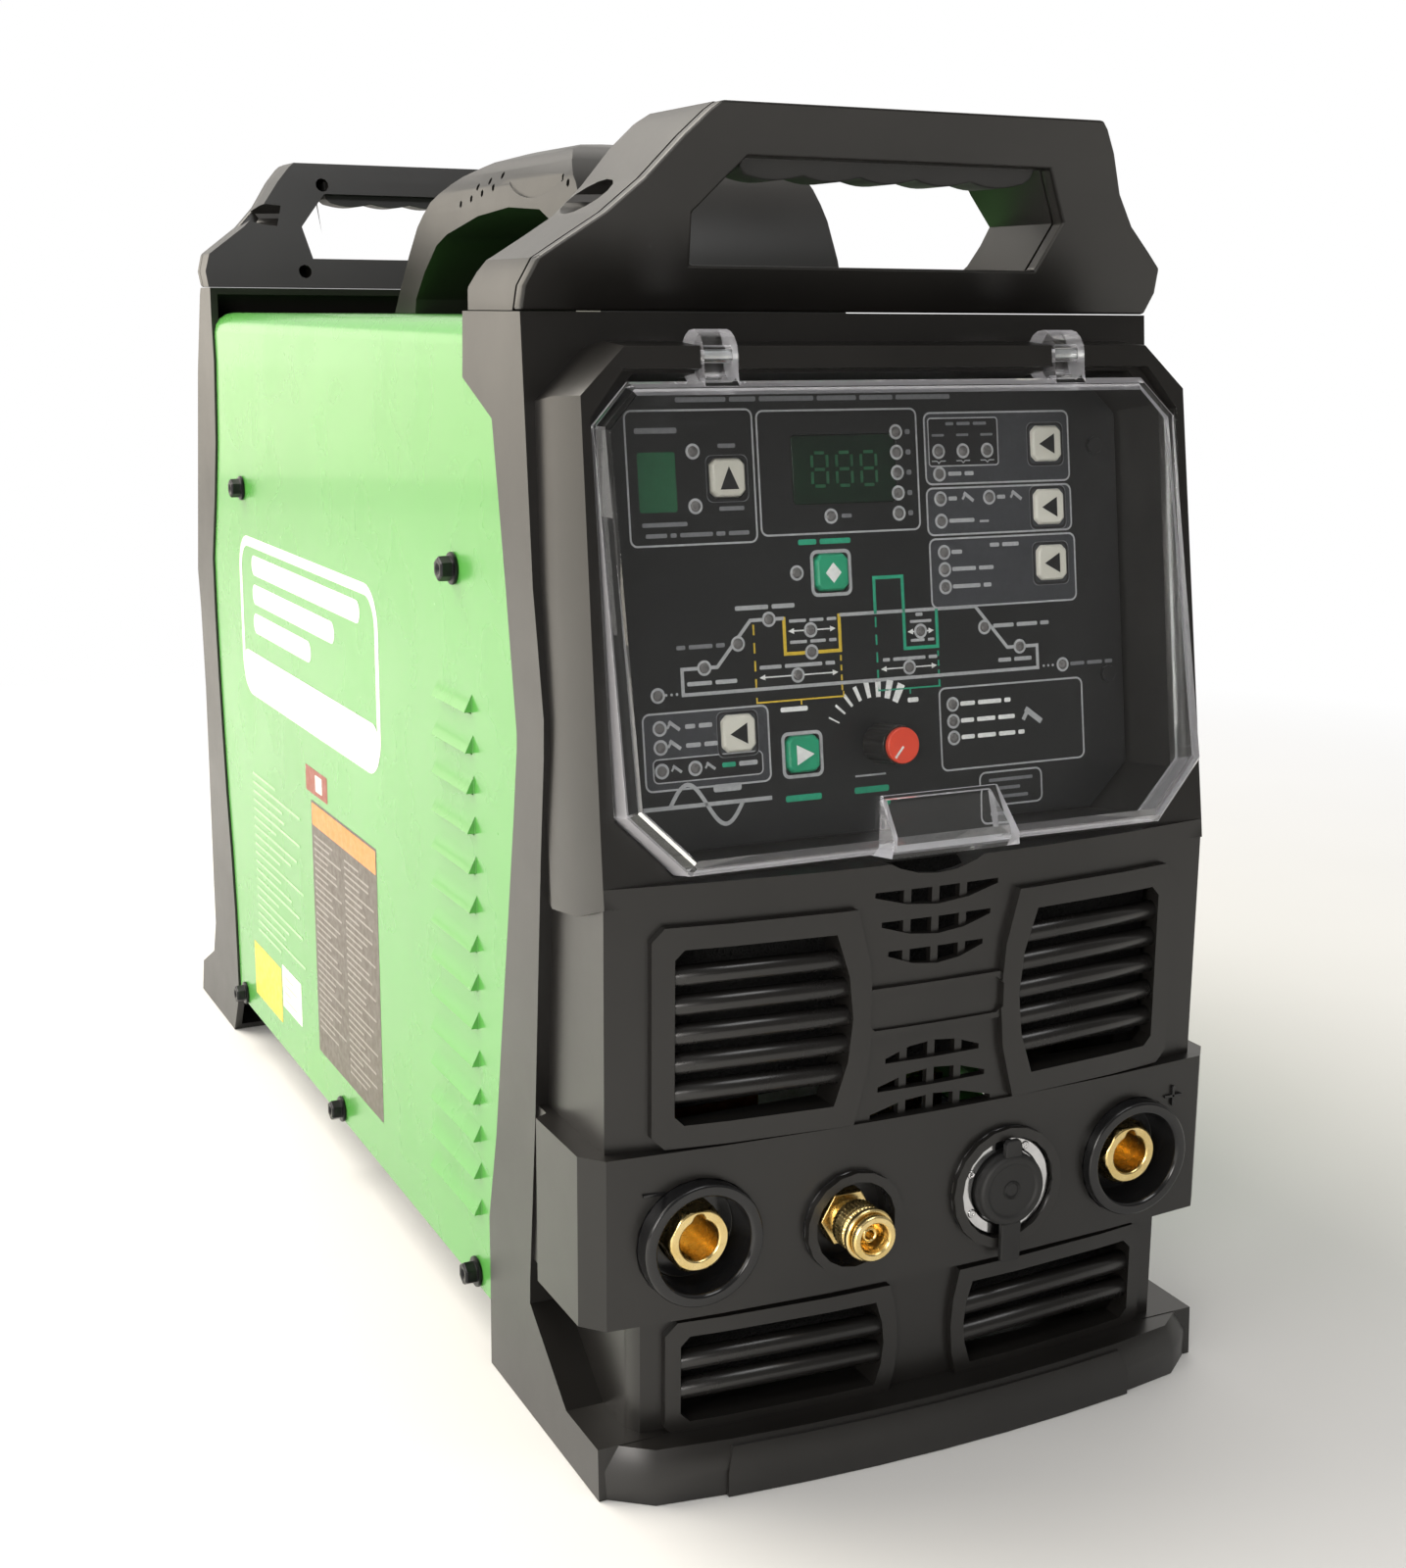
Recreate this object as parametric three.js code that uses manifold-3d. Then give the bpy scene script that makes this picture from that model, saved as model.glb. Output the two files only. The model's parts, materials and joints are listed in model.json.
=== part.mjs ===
// TIG welding machine: a portable inverter power source with a steel case cover
// between two moulded plastic end bezels, a carrying handle on each bezel, a
// recessed control panel behind a hinged clear cover, and the welding sockets
// on a box across the front.
//
// Units are millimetres, +Z is up, +X is to the right seen from the front and the
// front faces -Y. Lengths along Y are first given from the front datum, which is
// the side edge of the connector box. The outer group moves the machine so that
// the origin is on the floor under the middle of its length and width.

import * as THREE from 'three';
import { mergeVertices } from 'three/addons/utils/BufferGeometryUtils.js';
import Module from 'manifold-3d';

const wasm = await Module();
wasm.setup();

// ---------------------------------------------------------------- dimensions

const DATUM_TO_CENTRE = 255;
const GAP = 0.3;

// End bezels and case
const BEZEL_HALF = 111.6;
const BEZEL_WALL = 3.3;
const LIP_HALF = 105.8;
const FRONT_SEAM = 353.4;
const REAR_SEAM = 363.0;
const COVER_HALF = 110.6;
const COVER_SHEET = 1.6;
const COVER_TOP = 351.8;
const COVER_BOTTOM = 22;
const COVER_RADIUS = 9;

// Control panel: a plane that leans back as it rises from the bend line
const PANEL_LEAN = THREE.MathUtils.degToRad(8.04);
const BEND_Y = -2.4;
const BEND_Z = 191.2;
const SHROUD_TOP = 154.4;
const SHROUD_HALF = 107.3;
const FASCIA_DEPTH = 27;
const FASCIA_SHEET = 2;
const FASCIA_HALF = 97;

// Front faces are bowed in plan: they stand furthest forward on the centre line
const VENT_FRONT = -12;
const VENT_HALF = 107.3;
const VENT_RADIUS = 601;
const BOX_FRONT = -13;
const BOX_RADIUS = 1018;
const BOX_LOW = 55.4;
const BOX_HIGH = 109.9;
const LOWER_FRONT = -9.5;
const LOWER_HALF = 96;
const LOWER_RADIUS = 700;
const PLINTH_RADIUS = 700;
const PLINTH_FRONT = -24.8;

// Sockets on the connector box
const WELD_X = 79.5;
const WELD_Z = 80.5;
const GAS_X = -28;
const GAS_Z = 78;
const CONTROL_X = 28;
const CONTROL_Z = 80;

// Clear cover and its hinge, in the panel plane
const LID_TILT = THREE.MathUtils.degToRad(4.1);
const LID_WALL = 2;
const HINGE_UP = 152;
const HINGE_OUT = -7;
const HINGE_X = 61;
const KNUCKLE_RADIUS = 8;
const KNUCKLE_WIDTH = 11;
const PIN_RADIUS = 1.8;

// Adjusting knob
const KNOB_X = 1.5;
const KNOB_UP = 32.4;
const KNOB_RADIUS = 6.6;

// Keys and display, in the fascia plane
const BUTTON_HALF = 5.8;
const DISPLAY_MIDDLE = [-6.5, 119.5];
const DISPLAY_HALF = [18.5, 10.5];

// Dust cap's strap hinge below the control socket
const CAP_AXIS_Y = -16;
const CAP_AXIS_Z = 57.6;

// Handles
const GRIP_HALF = 51;
const GRIP_DEPTH = 15.2;
const SHELL_DEPTH = 6;

// Service pocket in the rear bezel: mains switch, gas inlet and cord gland
const SERVICE_FACE = 469.4;
const SERVICE_Z = 286;
const SWITCH_X = 52;
const INLET_X = 0;
const GLAND_X = -52;
const ROCKER_AXIS = -2.5;

// Cooling fan and its guard
const FAN_Z = 150;
const FAN_RADIUS = 56;
const FAN_BACK = 484;
const GUARD_Y = 493.5;

// ------------------------------------------------------------------ helpers

function signedVolume(positions, triangles) {
  let total = 0;
  const a = new THREE.Vector3();
  const b = new THREE.Vector3();
  const c = new THREE.Vector3();
  for (let i = 0; i < triangles.length; i += 3) {
    a.fromArray(positions, 3 * triangles[i]);
    b.fromArray(positions, 3 * triangles[i + 1]);
    c.fromArray(positions, 3 * triangles[i + 2]);
    total += a.dot(b.cross(c)) / 6;
  }
  return total;
}

// A closed three.js geometry as a solid that can be joined and cut.
function solid(geometry) {
  const bare = geometry.index ? geometry.toNonIndexed() : geometry.clone();
  bare.deleteAttribute('normal');
  bare.deleteAttribute('uv');
  const merged = mergeVertices(bare, 1e-4);
  const positions = new Float32Array(merged.attributes.position.array);
  const source = merged.index.array;
  const kept = [];
  for (let i = 0; i < source.length; i += 3) {
    const [p, q, r] = [source[i], source[i + 1], source[i + 2]];
    if (p !== q && q !== r && r !== p) kept.push(p, q, r);
  }
  const triangles = new Uint32Array(kept);
  if (signedVolume(positions, triangles) < 0) {
    for (let i = 0; i < triangles.length; i += 3) {
      const held = triangles[i];
      triangles[i] = triangles[i + 1];
      triangles[i + 1] = held;
    }
  }
  const mesh = new wasm.Mesh({ numProp: 3, vertProperties: positions, triVerts: triangles });
  return new wasm.Manifold(mesh);
}

function geometryOf(body) {
  const mesh = body.getMesh();
  const geometry = new THREE.BufferGeometry();
  geometry.setAttribute('position', new THREE.BufferAttribute(new Float32Array(mesh.vertProperties), 3));
  geometry.setIndex(new THREE.BufferAttribute(new Uint32Array(mesh.triVerts), 1));
  geometry.computeVertexNormals();
  return geometry;
}

function join(...bodies) {
  return bodies.reduce((sum, body) => sum.add(body));
}

function cut(body, ...tools) {
  return tools.reduce((rest, tool) => rest.subtract(tool), body);
}

function extruded(points, depth, options = {}) {
  const shape = new THREE.Shape(points.map(([u, v]) => new THREE.Vector2(u, v)));
  return new THREE.ExtrudeGeometry(shape, { depth, bevelEnabled: false, curveSegments: 8, ...options });
}

const X_AXIS = new THREE.Vector3(1, 0, 0);
const Y_AXIS = new THREE.Vector3(0, 1, 0);
const Z_AXIS = new THREE.Vector3(0, 0, 1);
const TO_X = new THREE.Matrix4().makeBasis(Y_AXIS, Z_AXIS, X_AXIS);
const TO_Y = new THREE.Matrix4().makeBasis(X_AXIS, Z_AXIS, Y_AXIS.clone().negate());

// Prisms: a [y, z] outline along X, an [x, z] outline along Y, an [x, y] outline along Z.
function alongX(points, low, high) {
  return solid(extruded(points, high - low).applyMatrix4(TO_X).translate(low, 0, 0));
}

function alongY(points, low, high) {
  return solid(extruded(points, high - low).applyMatrix4(TO_Y).translate(0, high, 0));
}

function alongZ(points, low, high) {
  return solid(extruded(points, high - low).translate(0, 0, low));
}

// A prism along Z whose top edge is chamfered: the top face is the given outline
// and the outline grows by `flare` over `fall` below it.
function flaredZ(points, low, high, fall, flare) {
  const depth = high - low - 2 * fall;
  const options = { bevelEnabled: true, bevelSegments: 1, bevelThickness: fall, bevelSize: flare };
  return solid(extruded(points, depth, options).translate(0, 0, low + fall));
}

function block(x0, x1, y0, y1, z0, z1) {
  const geometry = new THREE.BoxGeometry(x1 - x0, y1 - y0, z1 - z0);
  return solid(geometry.translate((x0 + x1) / 2, (y0 + y1) / 2, (z0 + z1) / 2));
}

// Round bars along the three axes.
function rodX(radius, x0, x1, y, z, sides = 12) {
  const geometry = new THREE.CylinderGeometry(radius, radius, x1 - x0, sides);
  return solid(geometry.rotateZ(Math.PI / 2).translate((x0 + x1) / 2, y, z));
}

function rodY(radius, y0, y1, x, z, sides = 16) {
  const geometry = new THREE.CylinderGeometry(radius, radius, y1 - y0, sides);
  return solid(geometry.translate(x, (y0 + y1) / 2, z));
}

function rodZ(radius, z0, z1, x, y, sides = 16) {
  const geometry = new THREE.CylinderGeometry(radius, radius, z1 - z0, sides);
  return solid(geometry.rotateX(Math.PI / 2).translate(x, y, (z0 + z1) / 2));
}

// A turned piece on an axis along Y: profile points are [radius, y].
function turned(profile, sides = 16) {
  const points = profile.map(([radius, y]) => new THREE.Vector2(radius, y));
  if (profile[0][0] > 0) points.push(points[0].clone());
  return solid(new THREE.LatheGeometry(points, sides));
}

function mirrored(points) {
  return [...points, ...points.map(([x, y]) => [-x, y]).reverse()];
}

// Points of a bowed front face from x0 to x1, with its crest at `front`.
function bow(front, radius, x0, x1, steps = 6) {
  const points = [];
  for (let i = 0; i <= steps; i += 1) {
    const x = x0 + (x1 - x0) * i / steps;
    points.push([x, front + x * x / (2 * radius)]);
  }
  return points;
}

function bowY(front, radius, x) {
  return front + x * x / (2 * radius);
}

function roundedRect(halfWidth, halfHeight, radius, steps = 1) {
  const points = [];
  for (let corner = 0; corner < 4; corner += 1) {
    const sx = corner === 0 || corner === 3 ? 1 : -1;
    const sy = corner < 2 ? 1 : -1;
    for (let i = 0; i <= steps; i += 1) {
      const angle = (corner + i / steps) * Math.PI / 2;
      points.push([
        sx * (halfWidth - radius) + radius * Math.cos(angle),
        sy * (halfHeight - radius) + radius * Math.sin(angle),
      ]);
    }
  }
  return points;
}

function shifted(points, dx, dy) {
  return points.map(([x, y]) => [x + dx, y + dy]);
}

// The panel plane's place in the machine: local x across, y up the slope, z outward.
const PANEL_MATRIX = new THREE.Matrix4()
  .makeTranslation(0, BEND_Y, BEND_Z)
  .multiply(new THREE.Matrix4().makeRotationX(Math.PI / 2 - PANEL_LEAN));

function onPanel(body) {
  return solid(geometryOf(body).applyMatrix4(PANEL_MATRIX));
}

// ---------------------------------------------------------------- materials

function material(color, roughness, metalness = 0) {
  return new THREE.MeshStandardMaterial({ color, roughness, metalness });
}

const BLACK_PLASTIC = material(0x24221f, 0.5);
const GREEN_PAINT = material(0x5fd257, 0.32, 0.1);
const DARK_PANEL = material(0x1b1c1c, 0.45);
const DISPLAY = material(0x0a2412, 0.15);
const BEIGE_BUTTON = material(0xb9b6a8, 0.5);
const GREEN_BUTTON = material(0x1fa06a, 0.45);
const RED_CAP = material(0xd9432c, 0.45);
const CLEAR = material(0xeef2f4, 0.05);
CLEAR.transparent = true;
CLEAR.opacity = 0.3;
const BRASS = material(0xd9ac4a, 0.28, 1);
const CHROME = material(0xd5d7d8, 0.15, 1);
const RUBBER = material(0x141414, 0.75);
const STEEL = material(0xaeb2b5, 0.4, 0.9);
const BLACK_STEEL = material(0x17181a, 0.4, 0.6);
const BOARD = material(0x1d5a34, 0.5);
const ALUMINIUM = material(0xc4c8ca, 0.35, 0.9);
const COPPER = material(0xb56a3a, 0.4, 0.8);

// ------------------------------------------------------------- front bezel

const FRONT_EDGE = [
  [47.9, FRONT_SEAM], [39.9, 273.6], [32.1, 235], [32.5, 223], [35.9, 191],
  [43, 106], [49.4, 48], [49.7, 39.5], [18.8, 16.9], [-6.7, 16.9], [-7.5, 0],
];
const FRONT_BACK_EDGE = [
  [88, 0], [87.5, 38], [87.7, 54], [79.5, 86], [59.1, 198], [55.3, 222],
  [55.1, 226.6], [63.1, 271], [73.2, 321.5], [99.6, 333], [98.4, FRONT_SEAM],
];

const SHROUD_OUTLINE = mirrored([
  [SHROUD_HALF, -6], [SHROUD_HALF, 0], [105.3, 140.6], [90.9, SHROUD_TOP],
]);
const LID_RECESS = mirrored([[84.8, 1.1], [102.6, 19.0], [102.6, 134.4], [91.6, 147.9]]);
const FASCIA_OUTLINE = mirrored([[82, 5], [FASCIA_HALF, 19], [FASCIA_HALF, 135], [86, 146]]);

function scaledOutline(points, growth) {
  const middle = 75.5;
  return points.map(([x, y]) => [x + Math.sign(x) * growth, y + Math.sign(y - middle) * growth]);
}

function lipStrip(edge, x0, x1) {
  const inward = edge.map(([y, z]) => [y - 6, z]);
  const outward = edge.map(([y, z]) => [y + 8, z]).reverse();
  return alongX([...inward, ...outward], x0, x1);
}

function ventInnerEdge(low, high, narrow, wide) {
  const middle = (low + high) / 2;
  const points = [];
  for (let i = 0; i <= 4; i += 1) {
    const z = low + (high - low) * i / 4;
    const share = (z - middle) / (high - middle);
    points.push([narrow + (wide - narrow) * share * share, z]);
  }
  return points;
}

// One grille: a raised frame, its opening and round slats across it.
function addGrille(body, side, spec) {
  const { low, high, inner, innerEnd, outer, frame, slats, radius, front, bowRadius } = spec;
  const place = (points) => (side > 0 ? points : points.map(([x, z]) => [-x, z]).reverse());
  const rim = [
    ...ventInnerEdge(low - frame, high + frame, inner - frame, innerEnd - frame),
    [outer + frame - 4, high + frame], [outer + frame, high + frame - 4],
    [outer + frame, low - frame + 4], [outer + frame - 4, low - frame],
  ];
  const hole = [
    ...ventInnerEdge(low, high, inner, innerEnd),
    [outer - 3, high], [outer, high - 3], [outer, low + 3], [outer - 3, low],
  ];
  const proudFace = bow(front - 2.6, bowRadius, -105, 105);
  const proud = alongZ([...proudFace, [105, 20], [-105, 20]], low - 20, high + 20);
  let result = join(body, alongY(place(rim), front - 6, front + 10).intersect(proud));
  result = cut(result, alongY(place(hole), front - 10, front + 24));
  const middle = (inner + outer) / 2;
  const length = outer - inner + 5;
  const slope = Math.atan(side * middle / bowRadius);
  const pitch = (high - low) / (slats + 1);
  for (let i = 1; i <= slats; i += 1) {
    const bar = new THREE.CylinderGeometry(radius, radius, length, 6);
    bar.rotateZ(Math.PI / 2).rotateZ(slope);
    bar.translate(side * middle, bowY(front, bowRadius, middle) + 2.4, low + pitch * i);
    result = join(result, solid(bar));
  }
  return result;
}

function crescent(width, centre, upward) {
  const half = width / 2;
  const height = 5.6;
  const end = 1.6;
  const flat = centre - upward * height / 2;
  const points = [];
  for (let i = 0; i <= 4; i += 1) {
    const x = -half + width * i / 4;
    const share = 1 - (x / half) ** 2;
    points.push([x, flat + upward * (end + (height - end) * share)]);
  }
  points.push([half, flat], [-half, flat]);
  return alongY(points, VENT_FRONT - 6, VENT_FRONT + 12);
}

function frontBezel() {
  const plate = alongX([...FRONT_EDGE, ...FRONT_BACK_EDGE], -BEZEL_HALF, BEZEL_HALF);
  const shroud = onPanel(flaredZ(SHROUD_OUTLINE, -48, 0, 14, 3));
  const ventPlan = [...bow(VENT_FRONT, VENT_RADIUS, -VENT_HALF, VENT_HALF), [VENT_HALF, 60], [-VENT_HALF, 60]];
  const vents = alongZ(ventPlan, BOX_HIGH - 4, BEND_Z);
  const boxSide = [[108.7, -7.2], [115, 0], [115, 33.6], [BEZEL_HALF - 1, 36], [BEZEL_HALF - 1, 60]];
  const boxPlan = [...bow(BOX_FRONT, BOX_RADIUS, -108, 108), ...mirrored(boxSide)];
  const box = alongZ(boxPlan, BOX_LOW, BOX_HIGH);
  const lowerPlan = [...bow(LOWER_FRONT, LOWER_RADIUS, -LOWER_HALF, LOWER_HALF), [LOWER_HALF + 3, 2],
    [LOWER_HALF + 3, 60], [-LOWER_HALF - 3, 60], [-LOWER_HALF - 3, 2]];
  const lower = alongZ(lowerPlan, 4, BOX_LOW + 2);
  let body = join(plate, shroud, vents, box, lower, plinth());

  const inner = alongX([[51, 350.4], [43, 273.6], [35.2, 235], [35.6, 223], [39, 191], [46, 106], [52.5, 48],
    [52.5, 3], [130, 3], [130, 350.4]], -BEZEL_HALF + BEZEL_WALL, BEZEL_HALF - BEZEL_WALL);
  const ventFloor = bow(VENT_FRONT + 3, VENT_RADIUS, -104, 104, 4);
  const ventCore = alongZ([...ventFloor, [104, 62], [-104, 62]], 100, 188.2);
  const boxCore = alongZ([...bow(BOX_FRONT + 5, BOX_RADIUS, -105, 105, 2), [109, 8], [109, 30], [104, 34],
    [104, 62], [-104, 62], [-104, 34], [-109, 30], [-109, 8]], BOX_LOW + 3, BOX_HIGH - 3);
  const lowerFloor = bow(LOWER_FRONT + 3, LOWER_RADIUS, -93, 93, 4);
  const lowerCore = alongZ([...lowerFloor, [93, 62], [-93, 62]], 3, BOX_LOW + 4);
  const lidSeat = onPanel(alongZ(LID_RECESS, -4.5, 30));
  const fasciaSeat = onPanel(alongZ(scaledOutline(FASCIA_OUTLINE, 1), -FASCIA_DEPTH - FASCIA_SHEET - GAP, 0));
  const fasciaLedge = onPanel(alongZ(scaledOutline(FASCIA_OUTLINE, -2.5), -40, 0));
  const panelCore = onPanel(alongZ(mirrored([[106, 1], [106, 134], [92, 148.5]]), -90, -FASCIA_DEPTH - 5));
  body = cut(body, inner, ventCore, boxCore, lowerCore, lidSeat, fasciaSeat, fasciaLedge, panelCore);

  const lipEdge = FRONT_BACK_EDGE.filter(([, z]) => z > 30 && z < 330);
  for (const side of [-1, 1]) {
    const x0 = Math.min(side * LIP_HALF, side * (BEZEL_HALF - BEZEL_WALL + 0.1));
    body = join(body, lipStrip(lipEdge, x0, x0 + BEZEL_HALF - BEZEL_WALL + 0.1 - LIP_HALF));
    body = addGrille(body, side, {
      low: 117.5, high: 172, inner: 30, innerEnd: 36, outer: 87, frame: 7, slats: 5, radius: 3,
      front: VENT_FRONT, bowRadius: VENT_RADIUS,
    });
    body = addGrille(body, side, {
      low: 19.5, high: 48, inner: 15, innerEnd: 18, outer: 84, frame: 5, slats: 2, radius: 3.2,
      front: LOWER_FRONT, bowRadius: LOWER_RADIUS,
    });
  }
  body = addCentreVents(body);
  body = addHingeNotches(body);
  return addSocketSeats(body);
}

function plinth() {
  const halfPlan = [[98.5, -17.2], [111, -7.9], [111, 60]];
  const front = bow(PLINTH_FRONT, PLINTH_RADIUS, -74, 74);
  const plan = [...front, ...mirrored(halfPlan)];
  const proudFront = bow(PLINTH_FRONT - 1.6, PLINTH_RADIUS, -74, 74);
  const proudPlan = [...proudFront, [74, 10], [-74, 10]];
  const inset = (points, by) => points.map(([x, y]) => [x * (1 - by / 111), y + by]);
  const low = flaredZ(inset(plan, 3.4), -16.7 + 4, 16.7, 7.4, 3.2);
  const proud = flaredZ(inset(proudPlan, 3.0), -16.7 + 4, 15.2, 7.4, 2.6);
  return cut(join(low, proud), block(-200, 200, -200, 200, -60, 0));
}

function addCentreVents(body) {
  let result = body;
  const rows = [[44, 180, -1], [39, 170.5, -1], [34, 161, -1], [34, 130.5, 1], [39, 121.5, 1], [44, 112.8, 1]];
  for (const [width, centre, upward] of rows) result = cut(result, crescent(width, centre, upward));
  for (const x of [-10, 0, 10]) {
    const back = bowY(VENT_FRONT, VENT_RADIUS, x);
    result = join(result, block(x - 1.3, x + 1.3, back + 1.6, back + 4, 156, 186));
    result = join(result, block(x - 1.3, x + 1.3, back + 1.6, back + 4, 107, 134.5));
  }
  const proud = alongZ([...bow(VENT_FRONT - 1.6, VENT_RADIUS, -40, 40), [40, 0], [-40, 0]], 130, 160);
  const raised = alongY(shifted(roundedRect(26, 7.6, 3), 0, 145.3), VENT_FRONT - 6, VENT_FRONT + 2);
  const sunk = alongZ([...bow(VENT_FRONT - 0.4, VENT_RADIUS, -40, 40), [40, -40], [-40, -40]], 130, 160);
  const field = alongY(shifted(roundedRect(24, 5.8, 2), 0, 145.3), VENT_FRONT - 6, VENT_FRONT + 2);
  return cut(join(result, raised.intersect(proud)), field.intersect(sunk));
}

// Slots in the shroud's top edge for the clear cover's arms, and the finger scoop below it.
function addHingeNotches(body) {
  const half = KNUCKLE_WIDTH / 2 + 0.7;
  const tools = [];
  for (const x of [-HINGE_X, HINGE_X]) {
    tools.push(onPanel(block(x - half, x + half, 140, 172, HINGE_OUT - KNUCKLE_RADIUS - 1.5, 20)));
    const bore = new THREE.CylinderGeometry(PIN_RADIUS + GAP, PIN_RADIUS + GAP, 2 * half + 9, 12);
    bore.rotateZ(Math.PI / 2).translate(x, HINGE_UP, HINGE_OUT);
    tools.push(onPanel(solid(bore)));
  }
  tools.push(onPanel(rodZ(36, -4, 30, 0, 30.5, 32).intersect(block(-30, 30, -10, 1.4, -5, 31))));
  return cut(body, ...tools);
}

function addSocketSeats(body) {
  let result = body;
  for (const x of [-WELD_X, WELD_X]) {
    result = cut(result, rodY(20.1, -30, -7.6, x, WELD_Z, 20), rodY(17.6, -30, 20, x, WELD_Z, 20));
  }
  const gasFace = bowY(BOX_FRONT, BOX_RADIUS, GAS_X);
  result = join(result, rodY(17, gasFace - 2.6, -4, GAS_X, GAS_Z, 18), rodY(15.5, -9, -1.5, GAS_X, GAS_Z, 12));
  result = cut(result, rodY(14, -30, -4.5, GAS_X, GAS_Z, 18), rodY(6.3, -30, 20, GAS_X, GAS_Z, 12));
  const controlFace = bowY(BOX_FRONT, BOX_RADIUS, CONTROL_X);
  result = join(result, rodY(20.4, controlFace - 2.6, -4, CONTROL_X, CONTROL_Z, 20));
  return cut(result, rodY(17.2, -30, 20, CONTROL_X, CONTROL_Z, 20));
}

// ------------------------------------------------------------- case cover

const REAR_FRONT_EDGE = [
  [452, 22], [452, 34], [452.6, 65], [455.5, 94], [460, 122], [463, 151], [465.5, 180],
  [467, 208], [467, 237], [457.5, 265], [450, 293], [446, 330], [447.5, 352],
];
const REAR_BACK_EDGE = [
  [467, REAR_SEAM], [469, 360], [475, 342], [481, 324], [489, 286], [497, 248], [501, 228], [498, 209],
  [495.5, 170], [497, 110], [498, 68], [498, 47], [505, 30], [532, 17], [537, 0],
];

const SIDE_SCREWS = [[114.6, 271.2], [404.9, 275.1], [438.9, 27.2], [270.7, 27.2], [103.3, 27.2]];

function coverSection(half, top, radius) {
  const arc = [];
  for (let i = 0; i <= 4; i += 1) {
    const angle = i / 4 * Math.PI / 2;
    arc.push([half - radius + radius * Math.cos(angle), top - radius + radius * Math.sin(angle)]);
  }
  return arc;
}

function caseCover() {
  const outer = coverSection(COVER_HALF, COVER_TOP, COVER_RADIUS);
  const inner = coverSection(COVER_HALF - COVER_SHEET, COVER_TOP - COVER_SHEET, COVER_RADIUS - COVER_SHEET);
  const halfStrip = [[COVER_HALF, COVER_BOTTOM], ...outer];
  const innerStrip = [[COVER_HALF - COVER_SHEET, COVER_BOTTOM], ...inner];
  const strip = [...mirrored(halfStrip), ...mirrored(innerStrip).reverse()];
  const shell = alongY(strip, 40, 480);
  const front = FRONT_BACK_EDGE.filter(([, z]) => z > 10).map(([y, z]) => [y + 0.5, z]);
  const back = REAR_FRONT_EDGE.map(([y, z]) => [y - 0.5, z]).reverse();
  const trim = alongX([[88.5, 10], ...front, [99, 360], [447, 360], ...back, [451.5, 10]], -120, 120);
  let body = shell.intersect(trim);
  for (const side of [-1, 1]) {
    for (let i = 0; i < 14; i += 1) body = addLouvre(body, side, 229 - 13.5 * i, i);
    for (const [y, z] of SIDE_SCREWS) {
      const x0 = side > 0 ? 100 : -120;
      body = cut(body, rodX(2.7, x0, x0 + 20, y, z, 8));
    }
  }
  return body;
}

// A pressed louvre: a hood that opens downward, with a slot behind it.
function addLouvre(body, side, z, index) {
  const y0 = 99 - 0.35 * index + Math.max(0, index - 7) * 0.6;
  const y1 = 133 + index;
  const face = COVER_HALF;
  const hood = [[face - 0.3, z + 3.6], [face + 2.8, z - 3.2], [face - 0.3, z - 3.2]];
  const hollow = [[face - 4, z + 2.2], [face - 0.1, z + 2.2], [face + 1.9, z - 3.8], [face - 4, z - 3.8]];
  const turn = (points) => (side > 0 ? points : points.map(([x, h]) => [-x, h]).reverse());
  const start = Math.max(y0, 97.6);
  return cut(join(body, alongY(turn(hood), start, y1)), alongY(turn(hollow), start + 1, y1 - 1));
}

// --------------------------------------------------------------- base pan

function basePan() {
  let body = block(-103.6, 103.6, 60, 470, 18, 19.6);
  for (const side of [-1, 1]) {
    const x0 = side > 0 ? 102 : -103.6;
    body = join(body, block(x0, x0 + 1.6, 98, 440, 18, 44));
    for (const [y, z] of SIDE_SCREWS.slice(2)) body = cut(body, rodX(2.7, x0 - 5, x0 + 6, y, z, 8));
  }
  return body;
}

// ------------------------------------------------------------- rear bezel

function rearBezel() {
  const outline = [...REAR_BACK_EDGE, [465, 0], ...REAR_FRONT_EDGE, [447.5, REAR_SEAM]];
  const outer = alongX(outline, -BEZEL_HALF, BEZEL_HALF);
  const backIn = (by) => REAR_BACK_EDGE.slice(1, 12).map(([y, z]) => [y - by, Math.min(z, REAR_SEAM - 3)]);
  const inner = alongX([[400, REAR_SEAM - 3], ...backIn(8), [490, 30], [490, 3], [400, 3]],
    -BEZEL_HALF + BEZEL_WALL, BEZEL_HALF - BEZEL_WALL);
  const recessFloor = REAR_BACK_EDGE.slice(2, 12).map(([y, z]) => [y - 5, z]);
  const recess = alongX([...recessFloor, [493, 40], [560, 40], [560, 342]], -101, 101);
  let body = cut(outer, inner, recess);
  const pocketWall = alongX([[466, 248], [487, 248], [476, 325], [466, 325]], -90, 90);
  body = cut(join(body, pocketWall), block(-87, 87, 469.4, 520, 251, 322));
  body = cut(body, rodY(FAN_RADIUS, 470, 520, 0, FAN_Z, 24));
  body = cut(body, alongY(shifted(roundedRect(11.4, 16.4, 1.5), SWITCH_X, SERVICE_Z), 460, 500));
  body = cut(body, rodY(9.4, 460, 500, GLAND_X, SERVICE_Z, 20), rodY(6.4, 460, 500, INLET_X, SERVICE_Z, 20));
  for (const x of [-81, 81]) {
    for (const z of [84, 100, 116, 132, 148, 164, 180, 196]) {
      body = cut(body, alongY(shifted(roundedRect(15, 3, 2), x, z), 470, 520));
    }
  }
  return body;
}

// ---------------------------------------------------------------- handles

const HANDLE_SIDE = [
  [111.6, 0], [112.2, 7], [109.6, 14.8], [102.9, 19.7], [91.8, 27.6],
  [82.2, 37], [73.5, 48.6], [67.6, 55.2], [64.7, 57.6],
];
const HANDLE_OPENING = [[61, 13.4], [64.6, 28], [52, 43.4]];

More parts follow.
